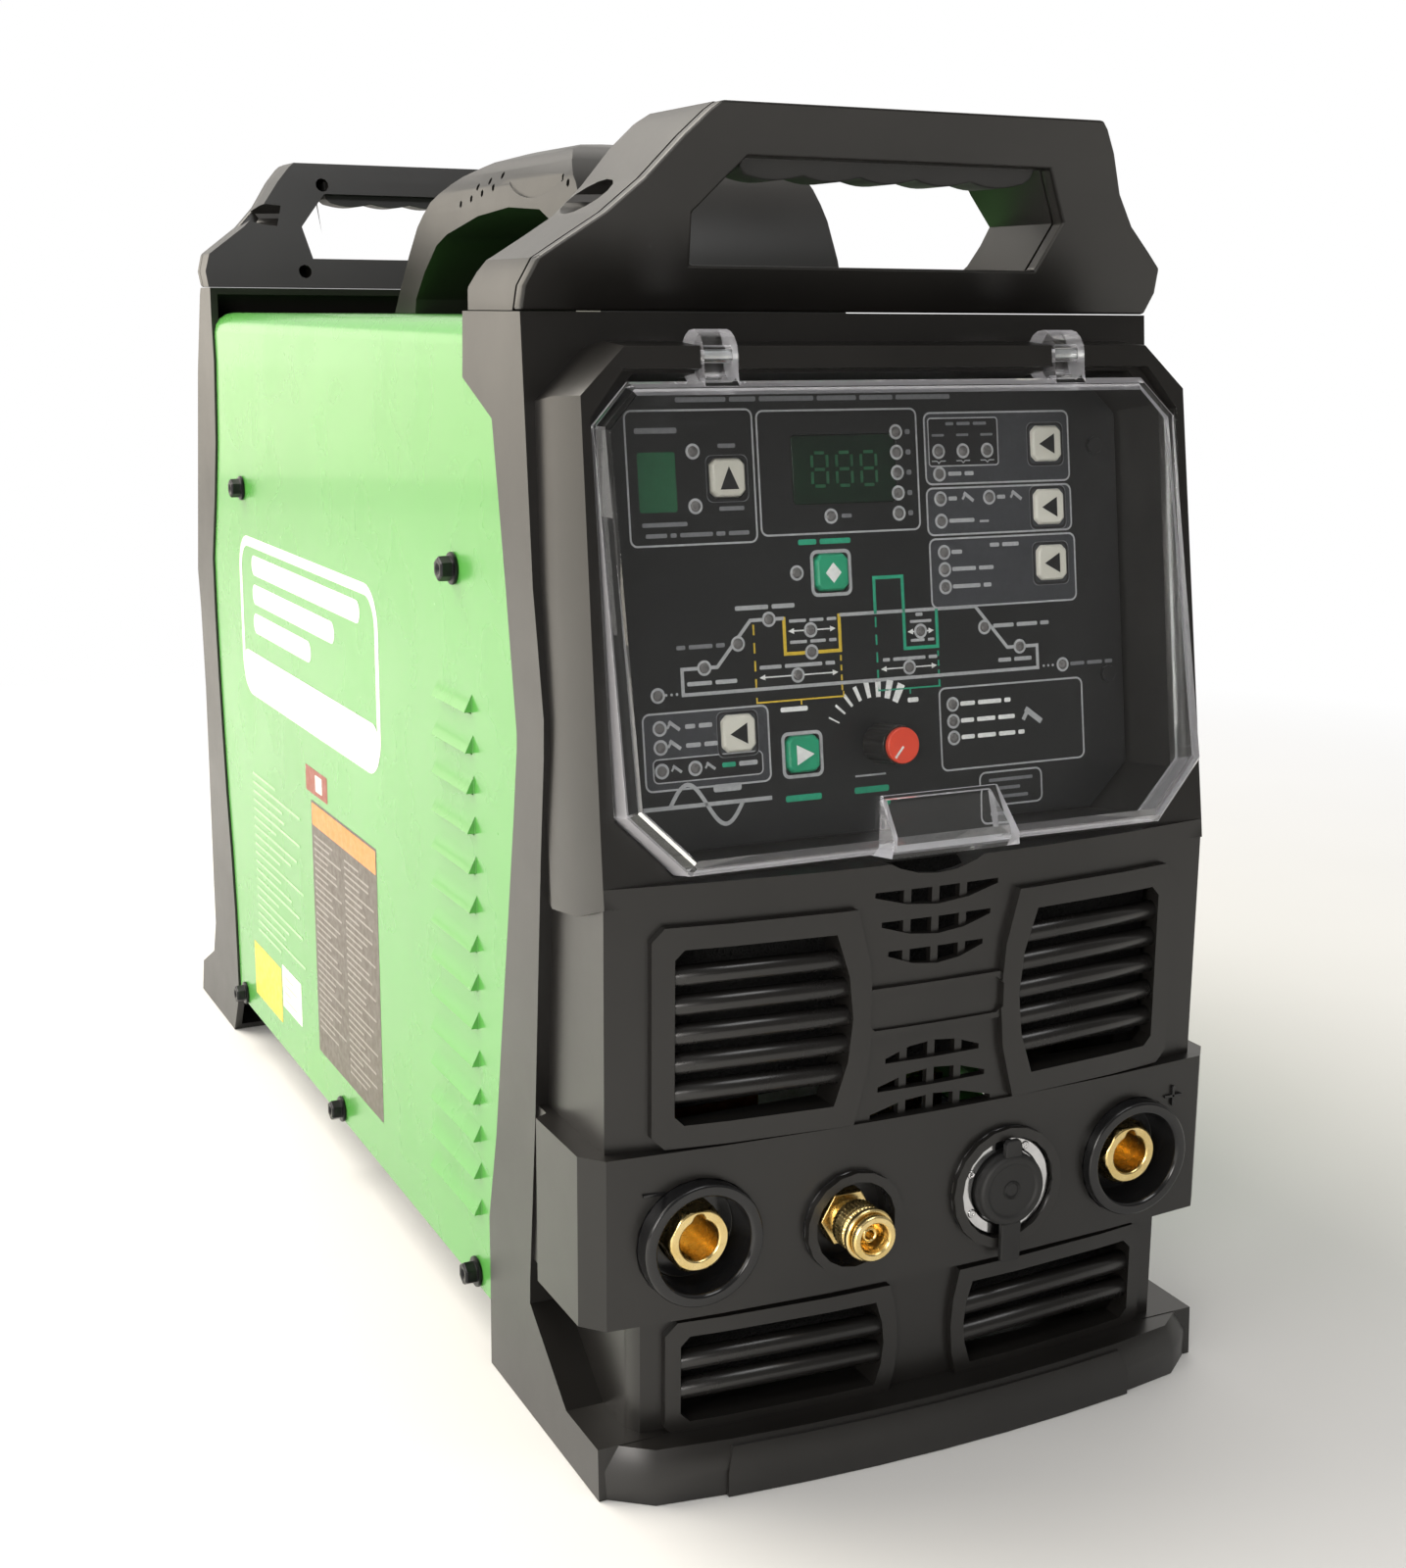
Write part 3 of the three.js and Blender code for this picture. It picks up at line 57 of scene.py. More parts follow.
KEY_FACE = 1.6
WINDOW_FACE = -0.2
BEVEL_ANGLE = math.radians(33)

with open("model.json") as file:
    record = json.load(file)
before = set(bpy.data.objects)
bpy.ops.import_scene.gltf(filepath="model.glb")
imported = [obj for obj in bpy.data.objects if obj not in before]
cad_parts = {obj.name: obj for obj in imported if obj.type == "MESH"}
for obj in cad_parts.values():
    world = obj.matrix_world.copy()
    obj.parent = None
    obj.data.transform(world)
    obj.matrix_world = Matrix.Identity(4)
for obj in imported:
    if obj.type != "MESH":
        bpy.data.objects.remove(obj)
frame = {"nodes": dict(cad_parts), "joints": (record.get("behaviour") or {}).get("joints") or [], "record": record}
cad_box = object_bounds()
joints = {joint["name"]: joint for joint in frame["joints"]}
node_body = {}
for body_name, members in frame["record"]["behaviour"]["bodies"].items():
    for member in members:
        node_body[member] = body_name


# ------------------------------------------------------------------- materials


class Shader:
    """A node material around one Principled shader, with short calls for its textures."""

    def __init__(self, name, roughness, metallic=0.0):
        self.material = bpy.data.materials.new(name)
        self.material.use_nodes = True
        self.tree = self.material.node_tree
        self.shader = self.tree.nodes["Principled BSDF"]
        self.set("Roughness", roughness)
        self.set("Metallic", metallic)
        self.place = self.add("ShaderNodeTexCoord").outputs["Object"]

    def set(self, socket, value):
        self.shader.inputs[socket].default_value = value

    def add(self, kind, **settings):
        node = self.tree.nodes.new(kind)
        for key, value in settings.items():
            setattr(node, key, value)
        return node

    def link(self, source, target):
        self.tree.links.new(source, target)

    def stretched(self, scale):
        mapping = self.add("ShaderNodeMapping")
        mapping.inputs["Scale"].default_value = scale
        self.link(self.place, mapping.inputs["Vector"])
        return mapping.outputs["Vector"]

    def noise(self, scale, detail=3.0, rough=0.5, place=None):
        node = self.add("ShaderNodeTexNoise")
        node.inputs["Scale"].default_value = scale
        node.inputs["Detail"].default_value = detail
        node.inputs["Roughness"].default_value = rough
        self.link(place or self.place, node.inputs["Vector"])
        return node.outputs["Fac"]

    def ramp(self, source, stops):
        node = self.add("ShaderNodeValToRGB")
        elements = node.color_ramp.elements
        while len(elements) < len(stops):
            elements.new(0.5)
        for element, (position, value) in zip(elements, stops):
            element.position = position
            element.color = value if isinstance(value, tuple) else (value, value, value, 1)
        self.link(source, node.inputs["Fac"])
        return node.outputs["Color"]

    def colour(self, source, stops):
        self.link(self.ramp(source, stops), self.shader.inputs["Base Color"])

    def roughness(self, source, low, high, start=0.3, end=0.7):
        self.link(self.ramp(source, [(start, low), (end, high)]), self.shader.inputs["Roughness"])

    def bump(self, *layers):
        """Each layer is (height source, distance in millimetres)."""
        below = None
        for height, distance in layers:
            node = self.add("ShaderNodeBump")
            node.inputs["Distance"].default_value = distance * MM
            self.link(height, node.inputs["Height"])
            if below is not None:
                self.link(below, node.inputs["Normal"])
            below = node.outputs["Normal"]
        self.link(below, self.shader.inputs["Normal"])


def rgba(red, green, blue):
    return (red, green, blue, 1.0)


def moulded_plastic(name, dark, light, low, high, grain):
    """Textured moulding: fine spark-eroded grain, faint colour drift and rubbed patches."""
    look = Shader(name, low)
    look.set("Specular IOR Level", 0.6)
    look.colour(look.noise(24, 5), [(0.35, rgba(*dark)), (0.7, rgba(*light))])
    look.roughness(look.noise(14, 6, 0.65), low, high)
    look.bump((look.noise(2200, 1), grain))
    return look.material


def powder_coat(name, dark, light):
    """Gloss powder coat: orange-peel ripple and a slight drift in shade."""
    look = Shader(name, 0.2)
    look.set("Coat Weight", 0.2)
    look.set("Coat Roughness", 0.06)
    look.colour(look.noise(7, 4), [(0.3, rgba(*dark)), (0.7, rgba(*light))])
    look.roughness(look.noise(30, 3), 0.24, 0.3)
    look.bump((look.noise(900, 1), 0.0012))
    return look.material


def turned_metal(name, dark, light, low, high, tool_marks=0.012):
    """Machined metal: colour drift, tool marks and a spread of roughness."""
    look = Shader(name, low, 1.0)
    look.colour(look.noise(180, 4), [(0.3, rgba(*dark)), (0.7, rgba(*light))])
    look.roughness(look.noise(260, 5), low, high)
    marks = look.noise(1400, 2, 0.5, look.stretched((0.15, 3.0, 0.15)))
    look.bump((marks, tool_marks))
    return look.material


def printed_ink(name, colour, roughness=0.5):
    """Screen-printed ink: slight unevenness in the coverage."""
    look = Shader(name, roughness)
    thin = tuple(0.86 * part for part in colour)
    look.colour(look.noise(900, 3), [(0.35, rgba(*thin)), (0.65, rgba(*colour))])
    look.roughness(look.noise(300, 2), roughness - 0.08, roughness + 0.08)
    look.bump((look.noise(3000, 1), 0.002))
    return look.material


def clear_plastic(name):
    """Clear moulded sheet: polished, with faint waviness and hairline scratches."""
    look = Shader(name, 0.02)
    look.set("Base Color", rgba(0.97, 0.98, 0.98))
    look.set("Transmission Weight", 1.0)
    look.set("IOR", 1.49)
    hairlines = look.noise(90, 8, 0.8, look.stretched((1.0, 14.0, 3.0)))
    look.roughness(hairlines, 0.01, 0.07, 0.6, 0.9)
    look.bump((look.noise(30, 1), 0.02))
    edges = look.add("ShaderNodeLayerWeight")
    edges.inputs["Blend"].default_value = 0.5
    milky = look.add("ShaderNodeBsdfDiffuse")
    milky.inputs["Color"].default_value = rgba(0.86, 0.85, 0.9)
    body = look.add("ShaderNodeMixShader")
    look.link(look.ramp(edges.outputs["Facing"], [(0.35, 0.0), (0.85, 0.55)]), body.inputs["Fac"])
    look.link(look.shader.outputs["BSDF"], body.inputs[1])
    look.link(milky.outputs["BSDF"], body.inputs[2])
    passing = look.add("ShaderNodeBsdfTransparent")
    passing.inputs["Color"].default_value = rgba(0.93, 0.94, 0.94)
    rays = look.add("ShaderNodeLightPath")
    mix = look.add("ShaderNodeMixShader")
    output = look.tree.nodes["Material Output"]
    look.link(rays.outputs["Is Shadow Ray"], mix.inputs["Fac"])
    look.link(body.outputs["Shader"], mix.inputs[1])
    look.link(passing.outputs["BSDF"], mix.inputs[2])
    look.link(mix.outputs["Shader"], output.inputs["Surface"])
    return look.material


def shade_foam_look(name):
    """Painted shade: a near-black sheet textured like open-cell foam, dark pores between lighter struts, that
    stands in for the shade inside the case behind the grilles.
    """
    look = Shader(name, 0.9)
    pores = look.add("ShaderNodeTexVoronoi", feature="DISTANCE_TO_EDGE")
    pores.inputs["Scale"].default_value = 700
    look.link(look.place, pores.inputs["Vector"])
    struts = [(0.05, rgba(0.006, 0.006, 0.006)), (0.3, rgba(0.001, 0.001, 0.001))]
    look.colour(pores.outputs["Distance"], struts)
    look.roughness(pores.outputs["Distance"], 0.7, 1.0)
    look.bump((pores.outputs["Distance"], 0.5))
    return look.material


def circuit_board(name):
    look = Shader(name, 0.4)
    cells = look.add("ShaderNodeTexVoronoi", distance="CHEBYCHEV")
    cells.inputs["Scale"].default_value = 160
    look.link(look.place, cells.inputs["Vector"])
    look.colour(cells.outputs["Distance"], [(0.2, rgba(0.03, 0.2, 0.08)), (0.5, rgba(0.012, 0.09, 0.035))])
    look.roughness(look.noise(80, 2), 0.3, 0.5)
    look.bump((cells.outputs["Distance"], 0.15))
    return look.material


# Each plastic has its darkest and lightest colour, its roughness range and its grain in mm.
BLACK = moulded_plastic(
    "black_plastic", (0.0085, 0.0078, 0.007), (0.0125, 0.0115, 0.0105), 0.3, 0.38, 0.008)
GLOSS = moulded_plastic("gloss_plastic", (0.008, 0.008, 0.0085), (0.011, 0.011, 0.012), 0.14, 0.22, 0.002)
GLOSS_SATIN = moulded_plastic(
    "slat_plastic", (0.0085, 0.008, 0.0075), (0.0125, 0.0115, 0.011), 0.24, 0.32, 0.004)
# painted shade: the near-black sheet look for behind the grilles
SHADE_FOAM = shade_foam_look("painted_shade_foam")
RUBBER = moulded_plastic("soft_rubber", (0.009, 0.009, 0.009), (0.015, 0.015, 0.015), 0.5, 0.66, 0.01)
FILM = moulded_plastic("panel_film", (0.0045, 0.005, 0.0055), (0.0065, 0.007, 0.0075), 0.3, 0.4, 0.002)
GREEN = powder_coat("green_paint", (0.085, 0.33, 0.058), (0.095, 0.37, 0.066))
ZINC = turned_metal("zinc_steel", (0.5, 0.51, 0.52), (0.66, 0.67, 0.68), 0.28, 0.42)
BLACK_STEEL = turned_metal("black_steel", (0.02, 0.02, 0.022), (0.045, 0.045, 0.048), 0.3, 0.45)
BRASS = turned_metal("brass", (0.84, 0.62, 0.24), (0.94, 0.74, 0.36), 0.2, 0.32, 0.005)
CHROME = turned_metal("chrome", (0.66, 0.66, 0.67), (0.8, 0.8, 0.81), 0.06, 0.16, 0.004)
ALUMINIUM = turned_metal("aluminium", (0.6, 0.61, 0.62), (0.72, 0.73, 0.74), 0.3, 0.5)
COPPER = turned_metal("copper_winding", (0.42, 0.17, 0.07), (0.6, 0.27, 0.12), 0.3, 0.5, 0.08)
BEIGE = moulded_plastic("beige_key", (0.52, 0.51, 0.45), (0.62, 0.61, 0.55), 0.4, 0.5, 0.003)
KEY_GREEN = moulded_plastic("green_key", (0.006, 0.24, 0.12), (0.012, 0.3, 0.155), 0.35, 0.45, 0.003)
RED = moulded_plastic("red_cap", (0.62, 0.05, 0.022), (0.74, 0.075, 0.032), 0.3, 0.4, 0.003)
LENS = moulded_plastic("display_lens", (0.002, 0.011, 0.005), (0.003, 0.016, 0.007), 0.1, 0.16, 0.0005)
BOARD = circuit_board("circuit_board")
CLEAR = clear_plastic("clear_plastic")

INK_GREY = printed_ink("ink_grey", (0.36, 0.37, 0.38))
INK_WHITE = printed_ink("ink_white", (0.72, 0.73, 0.72))
INK_DIM = printed_ink("ink_dim", (0.16, 0.165, 0.175))
INK_FILL = printed_ink("ink_fill", (0.034, 0.036, 0.042))
INK_BLACK = printed_ink("ink_black", (0.006, 0.006, 0.007))
INK_GREEN = printed_ink("ink_green", (0.015, 0.3, 0.17))
INK_YELLOW = printed_ink("ink_yellow", (0.6, 0.42, 0.03))
INK_SEGMENT = printed_ink("ink_segment", (0.006, 0.075, 0.03))
LAMP = printed_ink("lamp_lens", (0.13, 0.125, 0.125), 0.3)
LABEL_WHITE = printed_ink("label_white", (0.82, 0.83, 0.8), 0.35)
LABEL_FAINT = printed_ink("label_faint", (0.42, 0.75, 0.36), 0.35)
LABEL_BROWN = printed_ink("label_brown", (0.105, 0.085, 0.066), 0.4)
LABEL_RED = printed_ink("label_red", (0.3, 0.06, 0.03), 0.4)
LABEL_ORANGE = printed_ink("label_orange", (0.75, 0.27, 0.05), 0.4)
LABEL_YELLOW = printed_ink("label_yellow", (0.85, 0.58, 0.04), 0.4)
LABEL_LINE = printed_ink("label_line", (0.33, 0.3, 0.27), 0.4)

SLOT_LOOKS = {
    "black_plastic": BLACK, "green_paint": GREEN, "zinc_steel": ZINC, "soft_rubber": RUBBER,
    "panel_film": FILM, "display_lens": LENS, "beige_key": BEIGE, "green_key": KEY_GREEN,
    "red_cap": RED, "circuit_board": BOARD, "clear_plastic": CLEAR, "brass": BRASS,
    "chrome": CHROME, "black_steel": BLACK_STEEL, "aluminium": ALUMINIUM, "core_steel": COPPER,
}


# --------------------------------------------------------------- carried CAD nodes


def soften(thing, width, clamp=False):
    """Rounds the real edges by width millimetres and shades the flats flat."""
    for face in thing.data.polygons:
        face.use_smooth = True
    bevel = thing.modifiers.new("edges", "BEVEL")
    bevel.width = width * MM
    bevel.segments = 2
    bevel.limit_method = "ANGLE"
    bevel.angle_limit = BEVEL_ANGLE
    bevel.use_clamp_overlap = clamp
    weighted = thing.modifiers.new("flats", "WEIGHTED_NORMAL")
    weighted.weight = 90


# Nodes with broad faces round an opening: their bevels stop where they would cross.
RINGED = (
    "front_bezel", "rear_bezel", "clear_cover", "cable_saddle", "front_handle_back", "rear_handle_back",
)


def tidy_node(name, width):
    """A CAD node keeps its mesh: its facets are merged and its edges softened."""
    thing = frame["nodes"][name]
    weld = thing.modifiers.new("weld", "WELD")
    weld.merge_threshold = 0.01 * MM
    flat = thing.modifiers.new("flats_merged", "DECIMATE")
    flat.decimate_type = "DISSOLVE"
    flat.angle_limit = math.radians(1.0)
    soften(thing, width, name in RINGED)


EDGE_WIDTHS = {
    "front_bezel": 0.6, "rear_bezel": 0.6, "case_cover": 0.3, "base_pan": 0.3,
    "front_handle_shell": 1.0, "front_handle_back": 0.5, "front_handle_grip": 0.6,
    "rear_handle_shell": 1.0, "rear_handle_back": 0.5, "rear_handle_grip": 0.6,
    "cable_saddle": 0.8, "control_fascia": 0.2, "display_window": 0.15, "clear_cover": 0.5,
    "power_switch_frame": 0.5, "power_switch_rocker": 0.6, "panel_board": 0.2,
}
node_slots = {entry["node"]: entry["material_slot"] for entry in frame["record"]["subparts"]}
for name, thing in frame["nodes"].items():
    thing.data.materials.clear()
    thing.data.materials.append(SLOT_LOOKS[node_slots[name]])
    if name in EDGE_WIDTHS:
        tidy_node(name, EDGE_WIDTHS[name])
    elif name.startswith("button_"):
        tidy_node(name, 0.35)


# ------------------------------------------------------------------ mesh helpers


def add_piece(name, mesh, looks, body, place=None):
    """Links a bmesh as a piece, with the given materials, riding on a CAD body."""
    bmesh.ops.recalc_face_normals(mesh, faces=mesh.faces)
    data = bpy.data.meshes.new(name)
    mesh.to_mesh(data)
    mesh.free()
    if place is not None:
        data.transform(place)
    for look in looks:
        data.materials.append(look)
    thing = bpy.data.objects.new(name, data)
    bpy.context.scene.collection.objects.link(thing)
    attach(thing, body)
    return thing


def lathe(mesh, profile, segments=48, look=0):
    """Turns (radius, height) points about local z. A radius may be a function of the
    angle, for a hexagon, a keyway or a knurl. Ends on the axis are closed."""
    rings = []
    for radius, height in profile:
        if radius == 0:
            rings.append([mesh.verts.new((0, 0, height))])
            continue
        ring = []
        for step in range(segments):
            angle = 2 * math.pi * step / segments
            reach = radius(angle) if callable(radius) else radius
            ring.append(mesh.verts.new((reach * math.cos(angle), reach * math.sin(angle), height)))
        rings.append(ring)
    pairs = list(zip(rings, rings[1:]))
    if len(rings[0]) > 1 and len(rings[-1]) > 1:
        pairs.append((rings[-1], rings[0]))
    for first, second in pairs:
        for step in range(segments):
            after = (step + 1) % segments
            corners = [first[step % len(first)], first[after % len(first)],
                       second[after % len(second)], second[step % len(second)]]
            unique = list(dict.fromkeys(corners))
            if len(unique) > 2:
                mesh.faces.new(unique).material_index = look


def turned_piece(name, nodes, profile, look, place, segments=48, width=0.25, body=None):
    """A turned piece that stands for CAD nodes."""
    mesh = bmesh.new()
    lathe(mesh, profile, segments)
    thing = add_piece(name, mesh, [look], body or node_body[nodes[0]], place)
    if nodes:
        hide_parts(*nodes)
    soften(thing, width)
    return thing


def middle(node):
    low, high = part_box(node)
    return (low + high) / 2


def facing_front(x, y, z):
    """Place of a turned piece whose local z runs into the machine from its front face."""
    return Matrix.Translation((x, y, z)) @ Matrix.Rotation(math.radians(-90), 4, "X") @ Matrix.Scale(MM, 4)


def hexagon(size):
    """Radius of a hexagon of that corner radius, as a function of the angle."""
    def reach(angle):
        return size * math.cos(math.pi / 6) / math.cos((angle % (math.pi / 3)) - math.pi / 6)
    return reach


def chamfered(size, limit):
    """A hexagon whose corners are turned down to a limiting radius."""
    full = hexagon(size)
    return lambda angle: min(full(angle), limit)


# --------------------------------------------------------------------- sockets


def keyway_bore(radius, lobe_centre, lobe_radius):
    """A round bore with a round lobe at its top, which is local -y."""
    def reach(angle):
        turn = angle + math.pi / 2
        side = lobe_centre * math.sin(turn)
        if math.cos(turn) <= 0 or abs(side) >= lobe_radius:
            return radius
        return max(radius, lobe_centre * math.cos(turn) + math.sqrt(lobe_radius ** 2 - side ** 2))
    return reach


def weld_socket(side):
    shroud = f"weld_socket_{side}_shroud"
    brass = f"weld_socket_{side}_brass"
    centre = middle(shroud)
    cup = [(15.6, 1.0), (16.2, 0.2), (16.8, 0), (18.7, 0), (19.4, 0.3), (19.7, 1.0),
           (19.7, 6.9), (17.3, 6.9), (17.3, 26.8), (9.9, 26.8), (9.9, 13.3), (15.2, 13.3)]
    place = facing_front(centre.x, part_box(shroud)[0].y, centre.z)
    turned_piece(f"{shroud}_turned", [shroud], cup, GLOSS, place, 64)
    bore = keyway_bore(6.5, 6.3, 2.1)
    lip = keyway_bore(7.0, 6.3, 2.6)
    barrel = [(0, 44.4), (5, 44.4), (5, 30.4), (9.5, 30.4), (9.5, 8.8), (hexagon(10.8), 8.7),
              (hexagon(11), 8.4), (hexagon(11), 2.2), (chamfered(11, 10.4), 1.2),
              (chamfered(11, 9.9), 0.4), (9.3, 0), (lip, 0), (bore, 0.5), (bore, 22.4), (0, 22.4)]
    place = facing_front(centre.x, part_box(brass)[0].y, centre.z)
    turned_piece(f"{brass}_turned", [brass], barrel, BRASS, place, 72, 0.15)


def knurl(radius, depth, ridges, lean):
    """Radius function of a diamond knurl at one height."""
    def reach(angle):
        first = abs(math.sin(ridges * (angle + lean) / 2))
        second = abs(math.sin(ridges * (angle - lean) / 2))
        return radius - depth * (1 - first * second)
    return reach


def gas_outlet():
    centre = middle("gas_outlet_body")
    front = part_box("gas_outlet_body")[0].y
    nut = [(hexagon(9.2), 22.2), (hexagon(9.6), 21.8), (hexagon(9.6), 17.8), (hexagon(9.2), 17.4)]
    mouth = [(7.2, 2.4), (7.4, 2.0), (7.4, 0.5), (6.9, 0), (5.4, 0), (4.8, 0.6), (4.2, 2.4), (4.2, 9)]
    probe = [(2.6, 9), (2.6, 3.6), (2.0, 3.2), (1.5, 3.6), (1.5, 9), (0, 9)]
    body = [(0, 51), (5, 51), (5, 33), (6, 32), (6, 22.4), *nut, (6, 17.2), (6, 2.8), *mouth, *probe]
    turned_piece("gas_outlet_body_turned", ["gas_outlet_body"], body, BRASS,
                 facing_front(centre.x, front, centre.z), 72, 0.12)
    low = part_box("gas_outlet_sleeve")[0].y
    grip = [(6.35, 0.2), (6.8, 0), (8.0, 0), (8.4, 0.4), (8.4, 1.8), (8.0, 2.2), (7.2, 2.5), (7.2, 3.4)]
    for step in range(15):
        height = 3.8 + 0.45 * step
        grip.append((knurl(8.05, 0.4, 40, 0.055 * step), height))
    grip += [(7.6, 10.7), (6.35, 11)]
    turned_piece("gas_outlet_sleeve_knurled", ["gas_outlet_sleeve"], grip, BRASS,
                 facing_front(centre.x, low, centre.z), 240, 0.03)


def socket_collar(name, node, inner, outer, proud, deep):
    """The raised ring of the connector box round a socket."""
    centre = middle(node)
    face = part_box("weld_socket_negative_shroud")[0].y + proud * MM
    ring = [(inner, deep), (inner, 0.8), (inner + 0.6, 0)]
    ring += [(outer - 1.0, 0), (outer - 0.2, 0.8), (outer, deep)]
    place = facing_front(centre.x, face, centre.z)
    turned_piece(name, [], ring, GLOSS, place, 64, body=ROOT)


def control_socket():
    centre = middle("control_socket_shell")
    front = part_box("control_socket_shell")[0].y
    shell = [(0, 5.9), (12.6, 5.9), (12.6, 0.4), (13.0, 0), (16.2, 0), (16.8, 0.5),
             (16.8, 21.4), (14, 21.4), (14, 9.4), (0, 9.4)]
    mesh = bmesh.new()
    lathe(mesh, shell, 64)
    for step in range(5):
        angle = 2 * math.pi * step / 5
        pin = bmesh.new()
        lathe(pin, [(0, 3.4), (0.7, 3.4), (1.1, 3.9), (1.1, 6.2), (0, 6.2)], 12)
        move_into(mesh, pin, (6.5 * math.cos(angle), -6.5 * math.sin(angle), 0))
    for degrees in (-62, 150, 205):
        angle = math.radians(degrees)
        screw = bmesh.new()
        lathe(screw, [(0, 0.1), (0.5, 0.1), (0.6, -0.35), (1.2, -0.4), (1.6, 0.1), (0, 0.3)], 16)
        move_into(mesh, screw, (14.5 * math.cos(angle), 14.5 * math.sin(angle), 0))
    thing = add_piece("control_socket_shell_turned", mesh, [CHROME], ROOT,
                      facing_front(centre.x, front, centre.z))
    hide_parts("control_socket_shell")
    soften(thing, 0.15)


def move_into(mesh, other, offset):
    """Copies a small bmesh into a larger one at an offset, and frees it."""
    other.verts.index_update()
    copies = [mesh.verts.new(vert.co + Vector(offset)) for vert in other.verts]
    for face in other.faces:
        made = mesh.faces.new([copies[vert.index] for vert in face.verts])
        made.material_index = face.material_index
    other.free()


def dust_cap():
    """Rubber cap: dished disc with a raised rim and a small raised ring at its middle, a pull tab and a strap."""
    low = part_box("control_socket_cap")[0]
    centre = middle("control_socket_shell")
    mesh = bmesh.new()
    disc = [(0, 0.9), (8.6, 0.7), (9.4, 0.0), (11.0, 0.0), (11.7, 0.5), (12.1, 1.6),
            (12.1, 4.1), (11.6, 4.2), (11.6, 7.4), (9.8, 7.4), (9.8, 3), (0, 3)]
    lathe(mesh, disc, 64)
    lathe(mesh, [(2.2, 0.85), (2.4, 0.5), (2.9, 0.5), (3.1, 0.85), (2.9, 1.0), (2.4, 1.0)], 32)
    tab = [(-3.0, -11.4), (3.0, -11.4), (3.0, -15.6), (2.0, -17), (-2.0, -17), (-3.0, -15.6)]
    slab(mesh, tab, 0.2, 2.4)
    hinge_reach = (centre.z - low.z) / MM
    strap = [(-3.6, 11.2), (3.6, 11.2), (3.6, hinge_reach - 1), (3.0, hinge_reach), (-3.0, hinge_reach),
             (-3.6, hinge_reach - 1)]
    slab(mesh, strap, 0.2, 2.2)
    place = facing_front(centre.x, low.y, centre.z)
    body = node_body["control_socket_cap"]
    thing = add_piece("control_socket_cap_moulded", mesh, [RUBBER], body, place)
    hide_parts("control_socket_cap")
    soften(thing, 0.35)


def rounded(x0, y0, x1, y1, radius, steps=5):
    """Outline of a rectangle with round corners."""
    points = []
    corners = [(x1 - radius, y1 - radius), (x0 + radius, y1 - radius), (x0 + radius, y0 + radius),
               (x1 - radius, y0 + radius)]
    for corner, (x, y) in enumerate(corners):
        for step in range(steps + 1):
            angle = (corner + step / steps) * math.pi / 2
            points.append((x + radius * math.cos(angle), y + radius * math.sin(angle)))
    return points


def circle(x, y, radius, steps=24):
    angles = [2 * math.pi / steps * step for step in range(steps)]
    return [(x + radius * math.cos(angle), y + radius * math.sin(angle)) for angle in angles]


def slab(mesh, outline, low, high, look=0):
    """A closed prism of an outline between two heights."""
    bottom = [mesh.verts.new((x, y, low)) for x, y in outline]
    top = [mesh.verts.new((x, y, high)) for x, y in outline]
    mesh.faces.new(bottom).material_index = look
    mesh.faces.new(top).material_index = look
    for step in range(len(outline)):
        after = (step + 1) % len(outline)
        side = [bottom[step], bottom[after], top[after], top[step]]
        mesh.faces.new(side).material_index = look


for polarity in ("negative", "positive"):
    weld_socket(polarity)
gas_outlet()
control_socket()
dust_cap()
socket_collar("gas_outlet_collar", "gas_outlet_body", 13.8, 17.2, 1.3, 4)
socket_collar("control_socket_collar", "control_socket_shell", 17.1, 20.6, 0.8, 4)


# -------------------------------------------------------------- grilles and marks

UPPER_GRILLE = {"name": "upper", "middle": 58.5, "length": 60, "face": -267, "bow": 601,
                "low": 117.5, "high": 172, "slats": 5, "radius": 3.2}
LOWER_GRILLE = {"name": "lower", "middle": 49.5, "length": 72, "face": -264.5, "bow": 700,
                "low": 19.5, "high": 48, "slats": 2, "radius": 3.4}


def grille_slats(spec):
    """Round slats over the grille's bars, each following the slope of the bowed front."""
    pitch = (spec["high"] - spec["low"]) / (spec["slats"] + 1)
    half = spec["length"] / 2
    radius = spec["radius"]
    for side in (-1, 1):
        x = side * spec["middle"]
        y = spec["face"] + x * x / (2 * spec["bow"]) + 2.4
        slope = math.atan(x / spec["bow"])
        mesh = bmesh.new()
        for step in range(spec["slats"]):
            slat = bmesh.new()
            profile = [(0, -half), (radius - 0.5, -half), (radius, 0.5 - half), (radius, half - 0.5),
                       (radius - 0.5, half), (0, half)]
            lathe(slat, profile, 24)
            lean = Matrix.Rotation(slope, 4, "Z") @ Matrix.Rotation(math.pi / 2, 4, "Y")
            slat.transform(lean)
            move_into(mesh, slat, (x, y, spec["low"] + pitch * (step + 1)))
        name = f"{spec['name']}_slats_{'left' if side < 0 else 'right'}"
        slats = add_piece(name, mesh, [GLOSS_SATIN], ROOT, Matrix.Scale(MM, 4))
        for face in slats.data.polygons:
            face.use_smooth = len(face.vertices) == 4


def grille_shade_sheet(name, half, low, high, depth):
    """Painted shade: a near-black foam-textured sheet a few millimetres behind the slats, standing in for the
    shade inside the case.
    """
    mesh = bmesh.new()
    slab(mesh, rounded(-half, -high, half, -low, 3), 0, 4)
    shade_sheet = add_piece(name, mesh, [SHADE_FOAM], ROOT, facing_front(0, depth * MM, 0))
    soften(shade_sheet, 0.6)


def polarity_marks():
    """A raised minus and plus beside the welding sockets."""
    mesh = bmesh.new()
    minus = (-97.5, -90.5, 97.0, 97.9)
    plus = ((93.5, 100.5, 97.6, 98.5), (96.55, 97.45, 94.6, 101.5))
    for x0, x1, z0, z1 in (minus, *plus):
        slab(mesh, [(x0, -z1), (x1, -z1), (x1, -z0), (x0, -z0)], 0, 3)
    place = facing_front(0, -264.2 * MM, 0)
    marks = add_piece("polarity_marks", mesh, [GLOSS], ROOT, place)
    soften(marks, 0.1)


